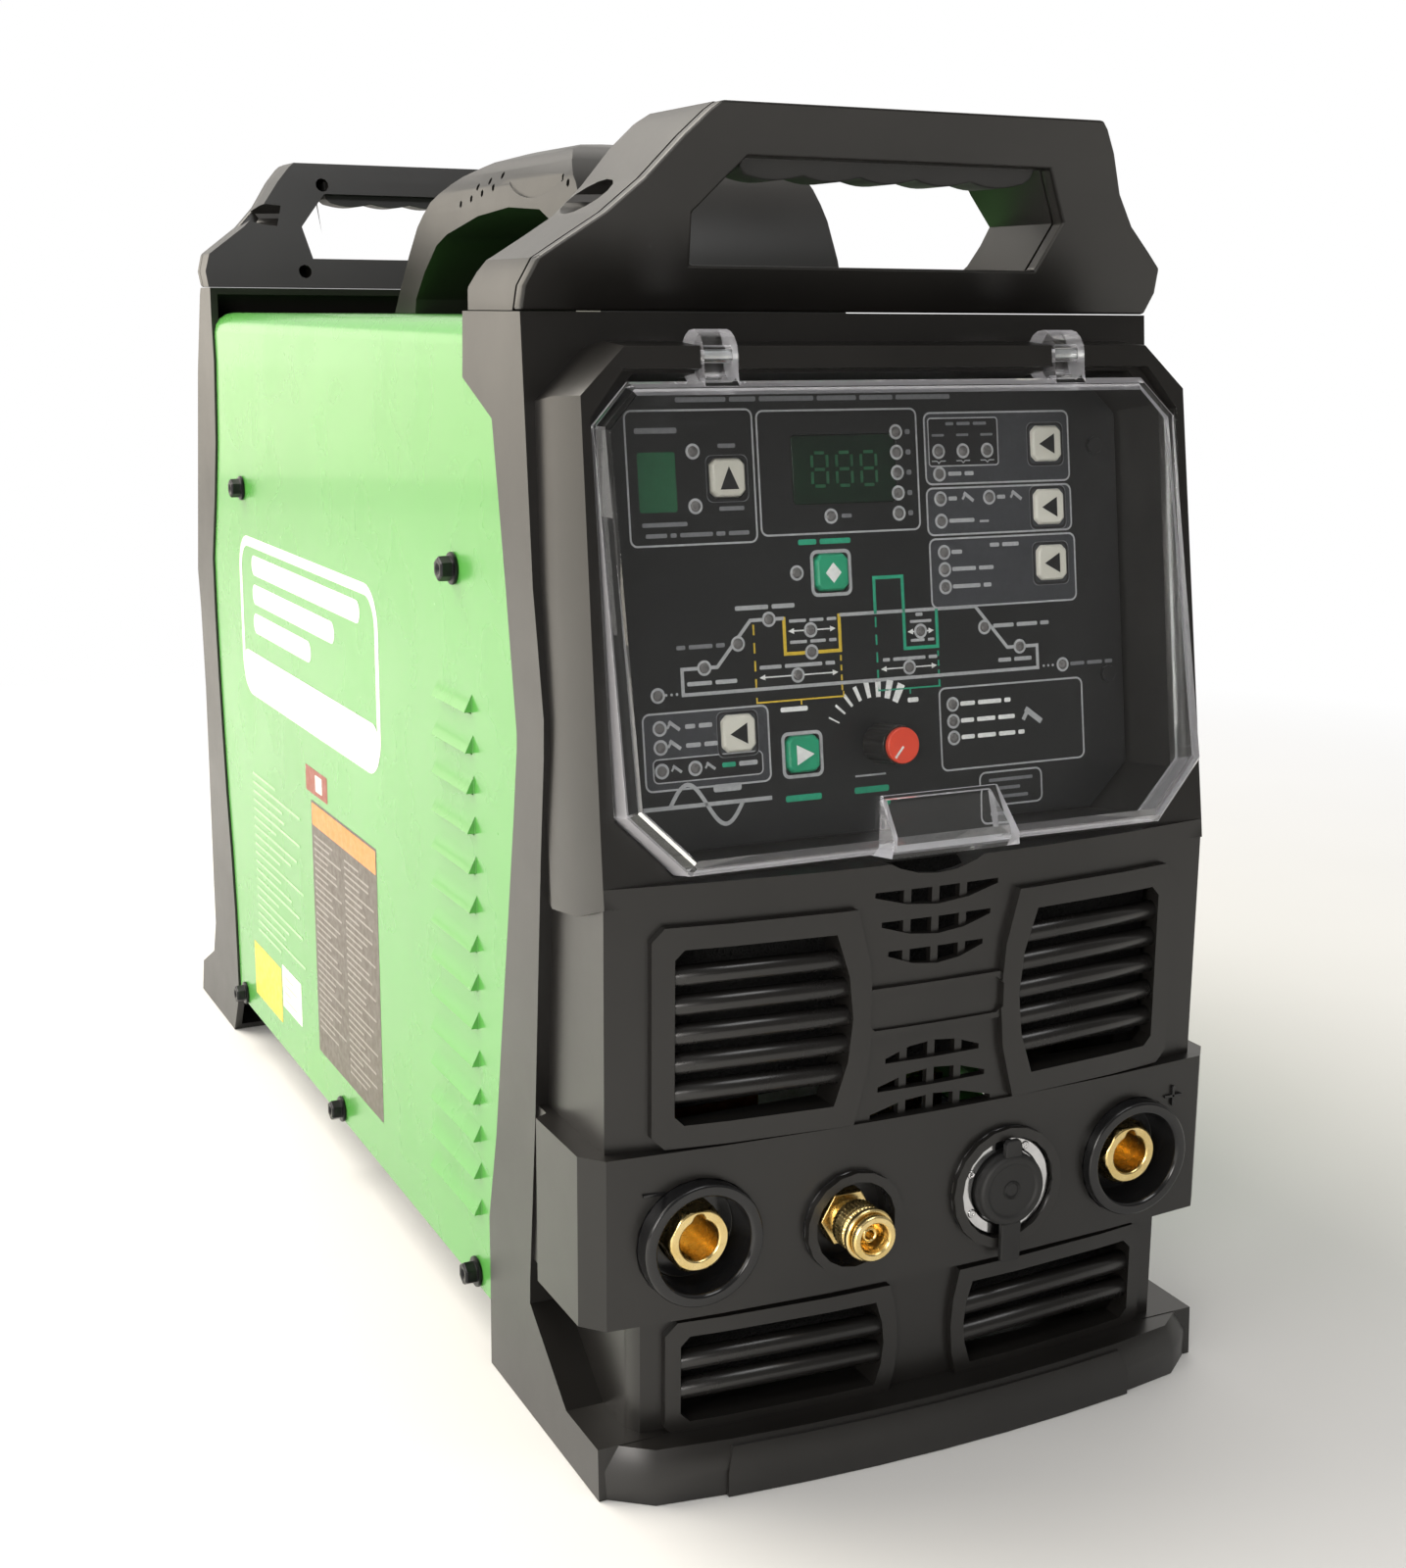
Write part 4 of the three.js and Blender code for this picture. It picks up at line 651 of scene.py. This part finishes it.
grille_slats(UPPER_GRILLE)
grille_slats(LOWER_GRILLE)
# painted shade: near-black sheets behind the grilles, where the case's inside lies in shade
grille_shade_sheet("painted_shade_upper", 99, 113, 185, -240)
grille_shade_sheet("painted_shade_lower", 89, 14, 53, -238)
polarity_marks()


# ---------------------------------------------------------------------- screws


def flange_screw(node):
    """Black hex flange screw with a dimple in its head."""
    low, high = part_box(node)
    side = -1 if node.startswith("side_screw_left") else 1
    centre = (low + high) / 2
    tip = low.x if side < 0 else high.x
    head = [(0, 1.2), (0.9, 1.2), (2.0, 0.1), (hexagon(3.6), 0), (hexagon(4.2), 0.6), (hexagon(4.2), 4.2),
            (5.2, 4.3), (5.4, 4.6), (5.4, 5.4), (2.2, 5.4), (2.2, 14.4), (0, 14.4)]
    turn = Matrix.Rotation(math.radians(-90 * side), 4, "Y")
    place = Matrix.Translation((tip, centre.y, centre.z)) @ turn @ Matrix.Scale(MM, 4)
    turned_piece(f"{node}_head", [node], head, BLACK_STEEL, place, 48, 0.2)


for name in list(frame["nodes"]):
    if name.startswith("side_screw_"):
        flange_screw(name)


# --------------------------------------------------------------- control panel

knob_joint = joints["knob_turn"]
outward = Vector(knob_joint["axis"]).normalized()
across = Vector((1, 0, 0))
up_slope = outward.cross(across)
origin = Vector(knob_joint["pos_m"]) - across * KNOB_PLACE[0] * MM - up_slope * KNOB_PLACE[1] * MM
PANEL = Matrix((across, up_slope, outward)).transposed().to_4x4()
PANEL.translation = origin
PANEL = PANEL @ Matrix.Scale(MM, 4)

INKS = [INK_GREY, INK_WHITE, INK_DIM, INK_FILL, INK_BLACK, INK_GREEN, INK_YELLOW, INK_SEGMENT]
GREY, WHITE, DIM, FILL, DARK, LEAF, YELLOW, SEGMENT = range(len(INKS))


def patch(mesh, outline, ink, lift=PRINT_LIFT):
    """A flat printed field."""
    mesh.faces.new([mesh.verts.new((x, y, lift)) for x, y in outline]).material_index = ink


def strip(mesh, points, width, ink, closed=False, lift=PRINT_LIFT):
    """A printed line of even width along points, mitred at its corners."""
    count = len(points)
    edges = []
    for step in range(count):
        here = Vector(points[step])
        before = Vector(points[step - 1]) if closed or step > 0 else here * 2 - Vector(points[step + 1])
        after = Vector(points[(step + 1) % count]) if closed or step < count - 1 else here * 2 - before
        first = (here - before).normalized()
        second = (after - here).normalized()
        normal = Vector((-first.y - second.y, first.x + second.x)).normalized()
        lean = max(0.4, normal.dot(Vector((-first.y, first.x))))
        offset = normal * (width / 2 / lean)
        edges.append([mesh.verts.new((*(here + offset), lift)), mesh.verts.new((*(here - offset), lift))])
    for step in range(count if closed else count - 1):
        first = edges[step]
        second = edges[(step + 1) % count]
        mesh.faces.new([first[0], first[1], second[1], second[0]]).material_index = ink


def group_frame(mesh, x0, y0, x1, y1, fill=None):
    """A printed group: thin rounded frame, with a lighter field where it has one."""
    if fill is not None:
        patch(mesh, rounded(x0, y0, x1, y1, 2.2), fill, PRINT_LIFT * 0.6)
    strip(mesh, rounded(x0, y0, x1, y1, 2.2), 0.6, GREY, True)


def dashes(mesh, x, y, lengths, ink=GREY, height=1.3):
    """Plain bars in place of words: one bar for each length, from x rightwards."""
    for length in lengths:
        patch(mesh, rounded(x, y - height / 2, x + length, y + height / 2, height * 0.3, 2), ink)
        x += length + 1.2


def arrow(mesh, x0, x1, y, ink=WHITE):
    """A thin double-headed arrow."""
    strip(mesh, [(x0 + 1, y), (x1 - 1, y)], 0.4, ink)
    for tip, way in ((x0, 1), (x1, -1)):
        patch(mesh, [(tip, y), (tip + way * 2.0, y + 0.9), (tip + way * 2.0, y - 0.9)], ink)


def torch(mesh, x, y, size=1.0):
    """A plain torch sign: a slanted handle and a short head."""
    strip(mesh, [(x - 1.6 * size, y + 1.5 * size), (x + 2.0 * size, y - 1.2 * size)], 1.1 * size, GREY)
    strip(mesh, [(x - 2.2 * size, y - 0.6 * size), (x - 0.8 * size, y + 1.6 * size)], 0.8 * size, GREY)


LAMPS = [(-59, 126), (-59, 109.5)]
LAMPS += [(12.4, 130.6 - 6.4 * step) for step in range(5)] + [(-12.3, 104.9)]
LAMPS += [(28, 124.1), (37.2, 124.1), (46.4, 124.1), (28, 116.9)]
LAMPS += [(28, 109), (46.5, 109), (28, 101.9)]
LAMPS += [(28.5, 91.9), (28.5, 86.4), (28.5, 80.8), (-25.4, 87.8)]
LAMPS += [(-75, 53), (-59, 60.4), (-47.1, 67.1), (-36, 74), (-21.5, 69.9), (-21.5, 63), (-26.8, 56.1)]
LAMPS += [(18.4, 67.2), (13.7, 55.9), (42.6, 67.1), (56, 60), (72.7, 53)]
LAMPS += [(-75, 43), (-75, 37.2), (-75, 30), (-63.8, 30), (29.3, 42.8), (29.3, 37.3), (29.3, 31.9)]


def print_groups(mesh):
    group_frame(mesh, -81, 98, -38.5, 138.4)
    group_frame(mesh, -36.9, 99.7, 20, 137.8)
    group_frame(mesh, 23, 113.7, 78.2, 136.3, FILL)
    patch(mesh, rounded(24.4, 119.4, 50.6, 134.6, 1), DARK, PRINT_LIFT * 0.8)
    strip(mesh, rounded(24.4, 119.4, 50.6, 134.6, 1), 0.4, GREY, True)
    group_frame(mesh, 22.9, 97.5, 78.3, 112.4, FILL)
    group_frame(mesh, 23.2, 74.2, 79.2, 96.2, FILL)
    group_frame(mesh, 24.4, 21.5, 80, 48.2)
    group_frame(mesh, -80.5, 24, -38, 47.5, FILL)
    patch(mesh, rounded(-77.8, 26.4, -40.6, 33.6, 1.6), DARK, PRINT_LIFT * 0.8)
    strip(mesh, rounded(-77.8, 26.4, -40.6, 33.6, 1.6), 0.4, GREY, True)
    group_frame(mesh, 38.5, 8.5, 62.5, 19.5)
    for row, length in ((16.8, 17), (14, 12), (11.2, 15)):
        dashes(mesh, 42, row, [length], DIM, 1.1)


def print_words(mesh):
    dashes(mesh, -64, 141.5, [17, 9, 19, 14, 12, 20], DIM, 1.5)
    dashes(mesh, -78, 132.4, [14], DIM, 1.7)
    dashes(mesh, -50.5, 127.5, [6], DIM)
    dashes(mesh, -51, 108.5, [8.5], DIM)
    dashes(mesh, -77, 104.3, [15], DIM)
    dashes(mesh, -76, 101, [7, 2, 11, 3, 7], DIM)
    dashes(mesh, -8.5, 104.9, [3.6], DIM)
    for step in range(5):
        dashes(mesh, 15.8, 130.6 - 6.4 * step, [1.8], DIM, 1.6)
    dashes(mesh, 31, 132.8, [3, 5, 5], DIM, 1.0)
    for x in (28, 37.2, 46.4):
        dashes(mesh, x - 2.3, 129.2, [4.6], DIM, 0.8)
        notch = [(x - 2.6, 121), (x - 0.7, 121), (x, 120.3), (x + 0.7, 121), (x + 2.6, 121)]
        strip(mesh, notch, 0.35, GREY)
    dashes(mesh, 31.3, 116.9, [5, 3.4], GREY)
    dashes(mesh, 31, 109, [3.2], GREY)
    torch(mesh, 38.5, 109.2)
    dashes(mesh, 49.5, 109, [3.2], GREY)
    torch(mesh, 57, 109.2)
    dashes(mesh, 31, 101.9, [9.5], GREY)
    strip(mesh, [(42.5, 101.4), (46, 101.4)], 0.7, GREY)
    dashes(mesh, 46, 93.6, [3.6, 6.4], GREY)
    dashes(mesh, 31.3, 91.9, [4], GREY)
    dashes(mesh, 31.3, 86.4, [9, 5.6], GREY)
    dashes(mesh, 31.3, 80.8, [10.5, 3], GREY)
    dashes(mesh, -24.4, 97.2, [6.4, 11], LEAF, 1.7)
    dashes(mesh, -47.5, 77.9, [11.5, 8], GREY, 1.4)
    dashes(mesh, -68, 67, [3, 8, 3], DIM, 1.3)
    dashes(mesh, -65, 55.8, [8.4, 7.4], GREY)
    dashes(mesh, -29, 73.0, [6, 5, 3.4], GREY, 1.0)
    dashes(mesh, -29, 66.4, [6, 5.5, 2.6], GREY, 1.0)
    dashes(mesh, -40, 59.2, [7.6, 13.2, 3.4], GREY, 1.2)
    dashes(mesh, 16.8, 72.6, [2.6], GREY, 1.1)
    dashes(mesh, 14.6, 70.4, [8], GREY, 0.9)
    dashes(mesh, 14.6, 64.4, [5.2, 2.4], GREY, 0.9)
    dashes(mesh, 4, 58.8, [2.6, 12, 3.2], GREY, 1.1)
    dashes(mesh, 46, 67.3, [8, 8, 3.4], GREY, 1.3)
    dashes(mesh, 47.5, 56, [5, 6.8], GREY, 1.3)
    dashes(mesh, 75.8, 53, [5.6, 6, 3], DIM, 1.2)
    dashes(mesh, -33.5, 45.6, [9.6], WHITE, 1.5)
    dashes(mesh, 12.5, 45.4, [4], WHITE, 1.5)
    for row, words in ((42.8, [5.6, 9, 2.4]), (37.3, [5, 7, 6.4]), (31.9, [5, 7, 6.4, 2.4])):
        dashes(mesh, 32.2, row, words, WHITE, 1.4)
    torch(mesh, 60, 36.8, 1.7)
    torch(mesh, -70.3, 43.4)
    torch(mesh, -70.3, 37.6)
    dashes(mesh, -66.5, 43, [3.4, 4.6], GREY, 1.4)
    dashes(mesh, -66.5, 37.2, [5, 4.6], GREY, 1.4)
    torch(mesh, -70, 30.2, 0.8)
    torch(mesh, -58.6, 30.2, 0.8)
    dashes(mesh, -54.6, 30.2, [4.6], LEAF, 1.5)
    dashes(mesh, -48.8, 30.2, [6.4], GREY, 1.5)
    dashes(mesh, -33.2, 17.6, [12.8], LEAF, 2.0)
    dashes(mesh, -8.5, 18.0, [12.6], LEAF, 2.0)
    dashes(mesh, -58, 23.2, [9.6], GREY, 2.4)


def print_weld_curve(mesh):
    """The welding current over time, with its pulse and wave balance marks."""
    rise = [(-66.5, 52.5), (-66.5, 60.4), (-54.5, 60.4), (-42.5, 74), (-30.8, 74)]
    strip(mesh, rise, 1.1, GREY)
    strip(mesh, [(-11, 74), (39.4, 74), (51.2, 60), (62.8, 60), (62.8, 53)], 1.1, GREY)
    strip(mesh, [(-67, 52.6), (63.4, 52.6)], 1.1, GREY)
    strip(mesh, [(-30.8, 74.4), (-30.8, 62.9), (-11.2, 62.9), (-11.2, 74.4)], 1.1, YELLOW)
    strip(mesh, [(2, 73.6), (2, 85), (12.4, 85), (12.4, 62), (24.6, 62), (24.6, 74)], 1.1, LEAF)
    drops = ((-41.5, YELLOW, 72.6), (2, LEAF, 72.6), (-11.2, YELLOW, 61.4), (24.6, LEAF, 60.6))
    for step in range(4):
        for x, ink, top in drops:
            low = top - 5.6 * step if top > 70 else top - 3.1 * step
            strip(mesh, [(x, low), (x, low - (3.2 if top > 70 else 1.8))], 0.6, ink)
    strip(mesh, [(-41.5, 50), (-41.5, 48.4), (-10.8, 48.4), (-10.8, 50)], 0.5, YELLOW)
    strip(mesh, [(-26, 48.4), (-26, 46.8)], 0.5, YELLOW)
    strip(mesh, [(2, 51), (2, 49.2), (24.8, 49.2), (24.8, 51)], 0.5, LEAF)
    strip(mesh, [(13.6, 49.2), (13.6, 47.4)], 0.5, LEAF)
    for x0, x1, y in ((-29.4, -12.6, 69.9), (-40.2, -12.4, 56.1), (13.6, 23.4, 67.2), (3.2, 24, 55.9)):
        arrow(mesh, x0, x1, y)
    for x in (-72.2, -70.4, -68.6, 65.2, 67, 68.8):
        patch(mesh, circle(x, 53, 0.45, 8), GREY)


def print_dial(mesh):
    """Bars round the knob that grow clockwise, and a full wave below the start group."""
    bars = 8
    for step in range(bars):
        angle = math.radians(152 - 88 * step / (bars - 1))
        ray = Vector((math.cos(angle), math.sin(angle)))
        side = Vector((-ray.y, ray.x)) * (0.25 + 0.16 * step)
        near = Vector(KNOB_PLACE) + ray * (16.2 - 0.28 * step)
        far = Vector(KNOB_PLACE) + ray * 20.4
        patch(mesh, [near - side * 0.8, far - side, far + side, near + side * 0.8], WHITE)
    strip(mesh, [(-8, 22.6), (3.2, 22.6)], 0.6, GREY)
    strip(mesh, [(-82, 18.6), (-38, 18.6)], 1.3, GREY)
    wave = []
    for step in range(33):
        share = step / 32
        wave.append((-73 + 25 * share, 18.6 + 6.6 * math.sin(2 * math.pi * share)))
    strip(mesh, wave, 1.3, GREY)


def print_windows(mesh):
    """The small programme window and the unlit digits of both displays."""
    patch(mesh, rounded(-77.5, 108, -65, 126, 0.8), SEGMENT, PRINT_LIFT * 0.8)
    lift = WINDOW_FACE + PRINT_LIFT
    for x in (-15.4, -6.6, 2.2):
        digit(mesh, x, 119.5, 5.4, 11.5, lift)


def digit(mesh, x, y, width, height, lift):
    """Seven unlit segments."""
    half = height / 2 - 0.6
    reach = width / 2 - 0.9
    for level in (-half, 0, half):
        strip(mesh, [(x - reach, y + level), (x + reach, y + level)], 1.0, SEGMENT, lift=lift)
    for side in (-width / 2, width / 2):
        for low, high in ((0.7, half - 0.7), (0.7 - half, -0.7)):
            strip(mesh, [(x + side, y + low), (x + side, y + high)], 1.0, SEGMENT, lift=lift)


def key_place(node):
    """A key's middle and face height in panel millimetres."""
    return PANEL.inverted() @ middle(node)


def print_key_borders(mesh):
    for node in frame["nodes"]:
        if not node.startswith("button_"):
            continue
        x, y, _ = key_place(node)
        green = node in ("button_gas_purge", "button_select")
        half = 7.3 if green else 7.0
        patch_ring(mesh, x, y, half, 6.2, GREY if green else DARK)
        if not green:
            strip(mesh, rounded(x - half, y - half, x + half, y + half, 1.8), 0.3, DIM, True)


def patch_ring(mesh, x, y, outer, inner, ink):
    """A printed square border with round corners round a key."""
    middle_line = (outer + inner) / 2
    ring = rounded(x - middle_line, y - middle_line, x + middle_line, y + middle_line, 1.8)
    strip(mesh, ring, outer - inner, ink, True, PRINT_LIFT * 1.2)


def control_print():
    mesh = bmesh.new()
    print_groups(mesh)
    print_words(mesh)
    print_weld_curve(mesh)
    print_dial(mesh)
    print_windows(mesh)
    print_key_borders(mesh)
    for x, y in LAMPS:
        patch(mesh, circle(x, y, 2.4), GREY, PRINT_LIFT * 1.6)
    add_piece("panel_print", mesh, INKS, ROOT, PANEL)


def lamp_lenses():
    mesh = bmesh.new()
    for x, y in LAMPS:
        dome = bmesh.new()
        lathe(dome, [(1.65, 0.12), (1.6, 0.3), (1.2, 0.5), (0.6, 0.62), (0, 0.65)], 20)
        move_into(mesh, dome, (x, y, 0))
    lenses = add_piece("panel_lamps", mesh, [LAMP], ROOT, PANEL)
    for face in lenses.data.polygons:
        face.use_smooth = True


def key_signs():
    """Signs on the keys, each riding on its key."""
    for node in frame["nodes"]:
        if not node.startswith("button_"):
            continue
        x, y, _ = key_place(node)
        shapes = {
            "button_memory": [(-3.2, -3.4), (3.2, -3.4), (0, 3.6)],
            "button_select": [(-2.8, -3.2), (3.4, 0), (-2.8, 3.2)],
            "button_gas_purge": [(-2.8, 0), (0, -3.2), (2.8, 0), (0, 3.2)],
        }
        outline = shapes.get(node, [(-3.4, 0), (2.6, -3.3), (2.6, 3.3)])
        mesh = bmesh.new()
        patch(mesh, [(x + dx, y + dy) for dx, dy in outline], 0, KEY_FACE + PRINT_LIFT)
        ink = INK_WHITE if node in ("button_gas_purge", "button_select") else INK_BLACK
        add_piece(f"{node}_sign", mesh, [ink], node_body[node], PANEL)


def knob():
    """Fluted dark barrel with a red cap and a white pointer."""
    place = PANEL @ Matrix.Translation((*KNOB_PLACE, 0))
    flutes = 18

    def fluted(radius, depth):
        return lambda angle: radius - depth * (0.5 + 0.5 * math.cos(flutes * angle))

    barrel = [(0, 9), (2.9, 9), (2.9, 0.6), (6.6, 0.6), (fluted(6.6, 0.3), 1.2), (fluted(6.45, 0.3), 12.2),
              (6.1, 12.7), (0, 12.8)]
    turned_piece("knob_body_fluted", ["knob_body"], barrel, BLACK, place, 144, 0.1)
    cap = [(0, 13.1), (5.6, 13.1), (5.75, 13.5), (5.75, 14.7), (5.4, 15.1), (0, 15.2)]
    turned_piece("knob_cap_turned", ["knob_cap"], cap, RED, place, 64, 0.15)
    mesh = bmesh.new()
    aim = math.radians(228)
    ray = Vector((math.cos(aim), math.sin(aim)))
    start = Vector(KNOB_PLACE) + ray * 0.4
    strip(mesh, [start, start + ray * 4.6], 0.75, 0, lift=15.2 + PRINT_LIFT)
    add_piece("knob_pointer", mesh, [INK_WHITE], node_body["knob_cap"], PANEL)


control_print()
lamp_lenses()
key_signs()
knob()


# ------------------------------------------------------------------ case labels

CASE_WALL = 110.6
LABEL_INKS = [LABEL_WHITE, LABEL_FAINT, LABEL_BROWN, LABEL_RED, LABEL_ORANGE, LABEL_YELLOW, LABEL_LINE]
PAPER, FAINT, BROWN, RED_INK, ORANGE, AMBER, LINE = range(len(LABEL_INKS))


def side_place(side):
    """Label millimetres on a side of the case: x runs to the reader's right, y up."""
    right = Vector((0, side, 0))
    place = Matrix((right, Vector((0, 0, 1)), Vector((side, 0, 0)))).transposed().to_4x4()
    place.translation = Vector((side * CASE_WALL * MM, 0, 0))
    return place @ Matrix.Scale(MM, 4)


def emblem(mesh, x, y):
    """A plain sticker: rounded white border, a solid foot and three stripes."""
    half, tall = 105, 34
    strip(mesh, rounded(x - half, y - tall, x + half, y + tall, 14, 8), 4.5, PAPER, True)
    patch(mesh, rounded(x - half, y - tall, x + half, y - tall + 18, 8, 6), PAPER, 2 * PRINT_LIFT)
    for row, length in ((24, 168), (11, 132), (-2, 96)):
        patch(mesh, rounded(x - 84, y + row - 4.5, x - 84 + length, y + row + 4.5, 4.4), PAPER)


def text_rows(mesh, x0, x1, top, bottom, pitch, ink, height):
    """Rows of thin lines of uneven length, in place of small print."""
    row = 0
    y = top
    while y > bottom:
        share = 0.72 + 0.26 * math.sin(row * 2.4 + x0)
        strip(mesh, [(x0, y), (x0 + (x1 - x0) * share, y)], height, ink, lift=2 * PRINT_LIFT)
        y -= pitch
        row += 1


def left_labels():
    mesh = bmesh.new()
    emblem(mesh, -54, 218)
    patch(mesh, rounded(-57, 156, -24, 167, 0.8), RED_INK)
    patch(mesh, rounded(-42, 158, -32, 165, 0.6), PAPER, 2 * PRINT_LIFT)
    patch(mesh, rounded(-50, 42, 43, 153, 0.8), BROWN)
    patch(mesh, rounded(-49, 142.5, 42, 152, 0.6), ORANGE, 2 * PRINT_LIFT)
    text_rows(mesh, -47, -6, 138, 52, 2.8, LINE, 0.9)
    text_rows(mesh, -2, 39, 138, 46, 2.8, LINE, 0.9)
    text_rows(mesh, -152, -66, 144, 66, 4.2, FAINT, 1.2)
    patch(mesh, rounded(-163, 34, -113, 60, 0.8), AMBER)
    patch(mesh, rounded(-111, 43, -78, 63, 0.8), PAPER)
    text_rows(mesh, -107, -84, 58, 47, 3.6, FAINT, 0.7)
    add_piece("case_labels_left", mesh, LABEL_INKS, ROOT, side_place(-1))


def right_labels():
    mesh = bmesh.new()
    emblem(mesh, 54, 218)
    add_piece("case_labels_right", mesh, LABEL_INKS, ROOT, side_place(1))


left_labels()
right_labels()


# ------------------------------------------------------------ floor, light, camera


def floor():
    """Pale floor. Away from the machine the camera sees it fade into the white backdrop."""
    look = Shader("pale_floor", 0.55)
    look.colour(look.noise(3, 3), [(0.3, rgba(0.78, 0.78, 0.77)), (0.7, rgba(0.82, 0.82, 0.81))])
    reach = look.add("ShaderNodeTexGradient", gradient_type="SPHERICAL")
    look.link(look.stretched((0.55, 0.55, 0.55)), reach.inputs["Vector"])
    fade = look.ramp(reach.outputs["Fac"], [(0.3, 1.0), (0.82, 0.0)])
    rays = look.add("ShaderNodeLightPath")
    seen = look.add("ShaderNodeMath", operation="MULTIPLY")
    look.link(fade, seen.inputs[0])
    look.link(rays.outputs["Is Camera Ray"], seen.inputs[1])
    white = look.add("ShaderNodeEmission")
    mix = look.add("ShaderNodeMixShader")
    look.link(seen.outputs["Value"], mix.inputs["Fac"])
    look.link(look.shader.outputs["BSDF"], mix.inputs[1])
    look.link(white.outputs["Emission"], mix.inputs[2])
    look.link(mix.outputs["Shader"], look.tree.nodes["Material Output"].inputs["Surface"])
    mesh = bmesh.new()
    half = 12
    corners = [(-half, -half), (half, -half), (half, half), (-half, half)]
    mesh.faces.new([mesh.verts.new((x, y, cad_box[0].z - 0.2 * MM)) for x, y in corners])
    data = bpy.data.meshes.new("floor")
    mesh.to_mesh(data)
    mesh.free()
    data.materials.append(look.material)
    thing = bpy.data.objects.new("floor", data)
    bpy.context.scene.collection.objects.link(thing)


def area_light(name, place, target, size, power, tint=(1, 1, 1)):
    data = bpy.data.lights.new(name, "AREA")
    data.shape = "RECTANGLE"
    data.size, data.size_y = size
    data.energy = power
    data.color = tint
    light = bpy.data.objects.new(name, data)
    light.location = place
    light.rotation_euler = (Vector(target) - Vector(place)).to_track_quat("-Z", "Y").to_euler()
    bpy.context.scene.collection.objects.link(light)


def room_light():
    """White for the camera. The light that it gives is bright behind the machine, like a
    paper backdrop, and dim in front, like a room."""
    world = bpy.data.worlds.new("studio")
    world.use_nodes = True
    tree = world.node_tree
    room = tree.nodes["Background"]
    room.inputs["Color"].default_value = rgba(1.0, 0.97, 0.92)
    place = tree.nodes.new("ShaderNodeTexCoord")
    parts = tree.nodes.new("ShaderNodeSeparateXYZ")
    depth = tree.nodes.new("ShaderNodeMapRange")
    depth.inputs["From Min"].default_value = -0.35
    depth.inputs["From Max"].default_value = 0.6
    depth.inputs["To Min"].default_value = 0.16
    depth.inputs["To Max"].default_value = 0.9
    tree.links.new(place.outputs["Generated"], parts.inputs["Vector"])
    tree.links.new(parts.outputs["Y"], depth.inputs["Value"])
    tree.links.new(depth.outputs["Result"], room.inputs["Strength"])
    white = tree.nodes.new("ShaderNodeBackground")
    white.inputs["Color"].default_value = rgba(1, 1, 1)
    rays = tree.nodes.new("ShaderNodeLightPath")
    mix = tree.nodes.new("ShaderNodeMixShader")
    tree.links.new(rays.outputs["Is Camera Ray"], mix.inputs["Fac"])
    tree.links.new(room.outputs["Background"], mix.inputs[1])
    tree.links.new(white.outputs["Background"], mix.inputs[2])
    tree.links.new(mix.outputs["Shader"], tree.nodes["World Output"].inputs["Surface"])
    bpy.context.scene.world = world


def studio():
    """A warm lamp low behind the left side gives its sheen, a softer one lights the
    left, and two weak ones open up the front."""
    room_light()
    aim = (0, 0, 0.2)
    area_light("back_left", (-1.8, 2.2, 0.55), aim, (3.4, 1.0), 15, (1.0, 0.9, 0.74))
    area_light("back_floor", (-1.1, 1.0, 1.6), (-1.0, 1.0, 0), (1.6, 1.6), 62, (1.0, 0.94, 0.84))
    area_light("key_left", (-2.0, -0.5, 1.2), aim, (1.4, 1.4), 13, (1.0, 0.97, 0.93))
    area_light("top", (0.3, -1.2, 2.1), aim, (1.0, 0.7), 9)
    area_light("front_left", (-1.6, -2.0, 0.7), aim, (1.0, 0.8), 26, (1.0, 0.96, 0.92))
    bpy.context.scene.view_settings.view_transform = "Standard"


CAMERA_PLACE = (-0.332476, -0.792157, 0.353613)
CAMERA_AZIMUTH, CAMERA_ELEVATION, CAMERA_ROLL = -25.653, 12.720, -0.385
CAMERA_LENS = 32.01855
CAMERA_FILM = 24


def camera():
    """Stands in front and to the left, level with the panel's top, and looks down a little."""
    azimuth = math.radians(CAMERA_AZIMUTH)
    elevation = math.radians(CAMERA_ELEVATION)
    roll = math.radians(CAMERA_ROLL)
    level = math.cos(elevation)
    back = Vector((math.sin(azimuth) * level, -math.cos(azimuth) * level, math.sin(elevation)))
    right = (-back).cross(Vector((0, 0, 1))).normalized()
    up = back.cross(right)
    turned_right = right * math.cos(roll) - up * math.sin(roll)
    turned_up = up * math.cos(roll) + right * math.sin(roll)
    place = Matrix((turned_right, turned_up, back)).transposed().to_4x4()
    place.translation = Vector(CAMERA_PLACE)
    data = bpy.data.cameras.new("camera")
    data.sensor_fit = "VERTICAL"
    data.sensor_height = CAMERA_FILM
    data.lens = CAMERA_LENS
    data.clip_start = 0.01
    thing = bpy.data.objects.new("camera", data)
    thing.matrix_world = place
    bpy.context.scene.collection.objects.link(thing)
    bpy.context.scene.camera = thing


floor()
studio()
camera()
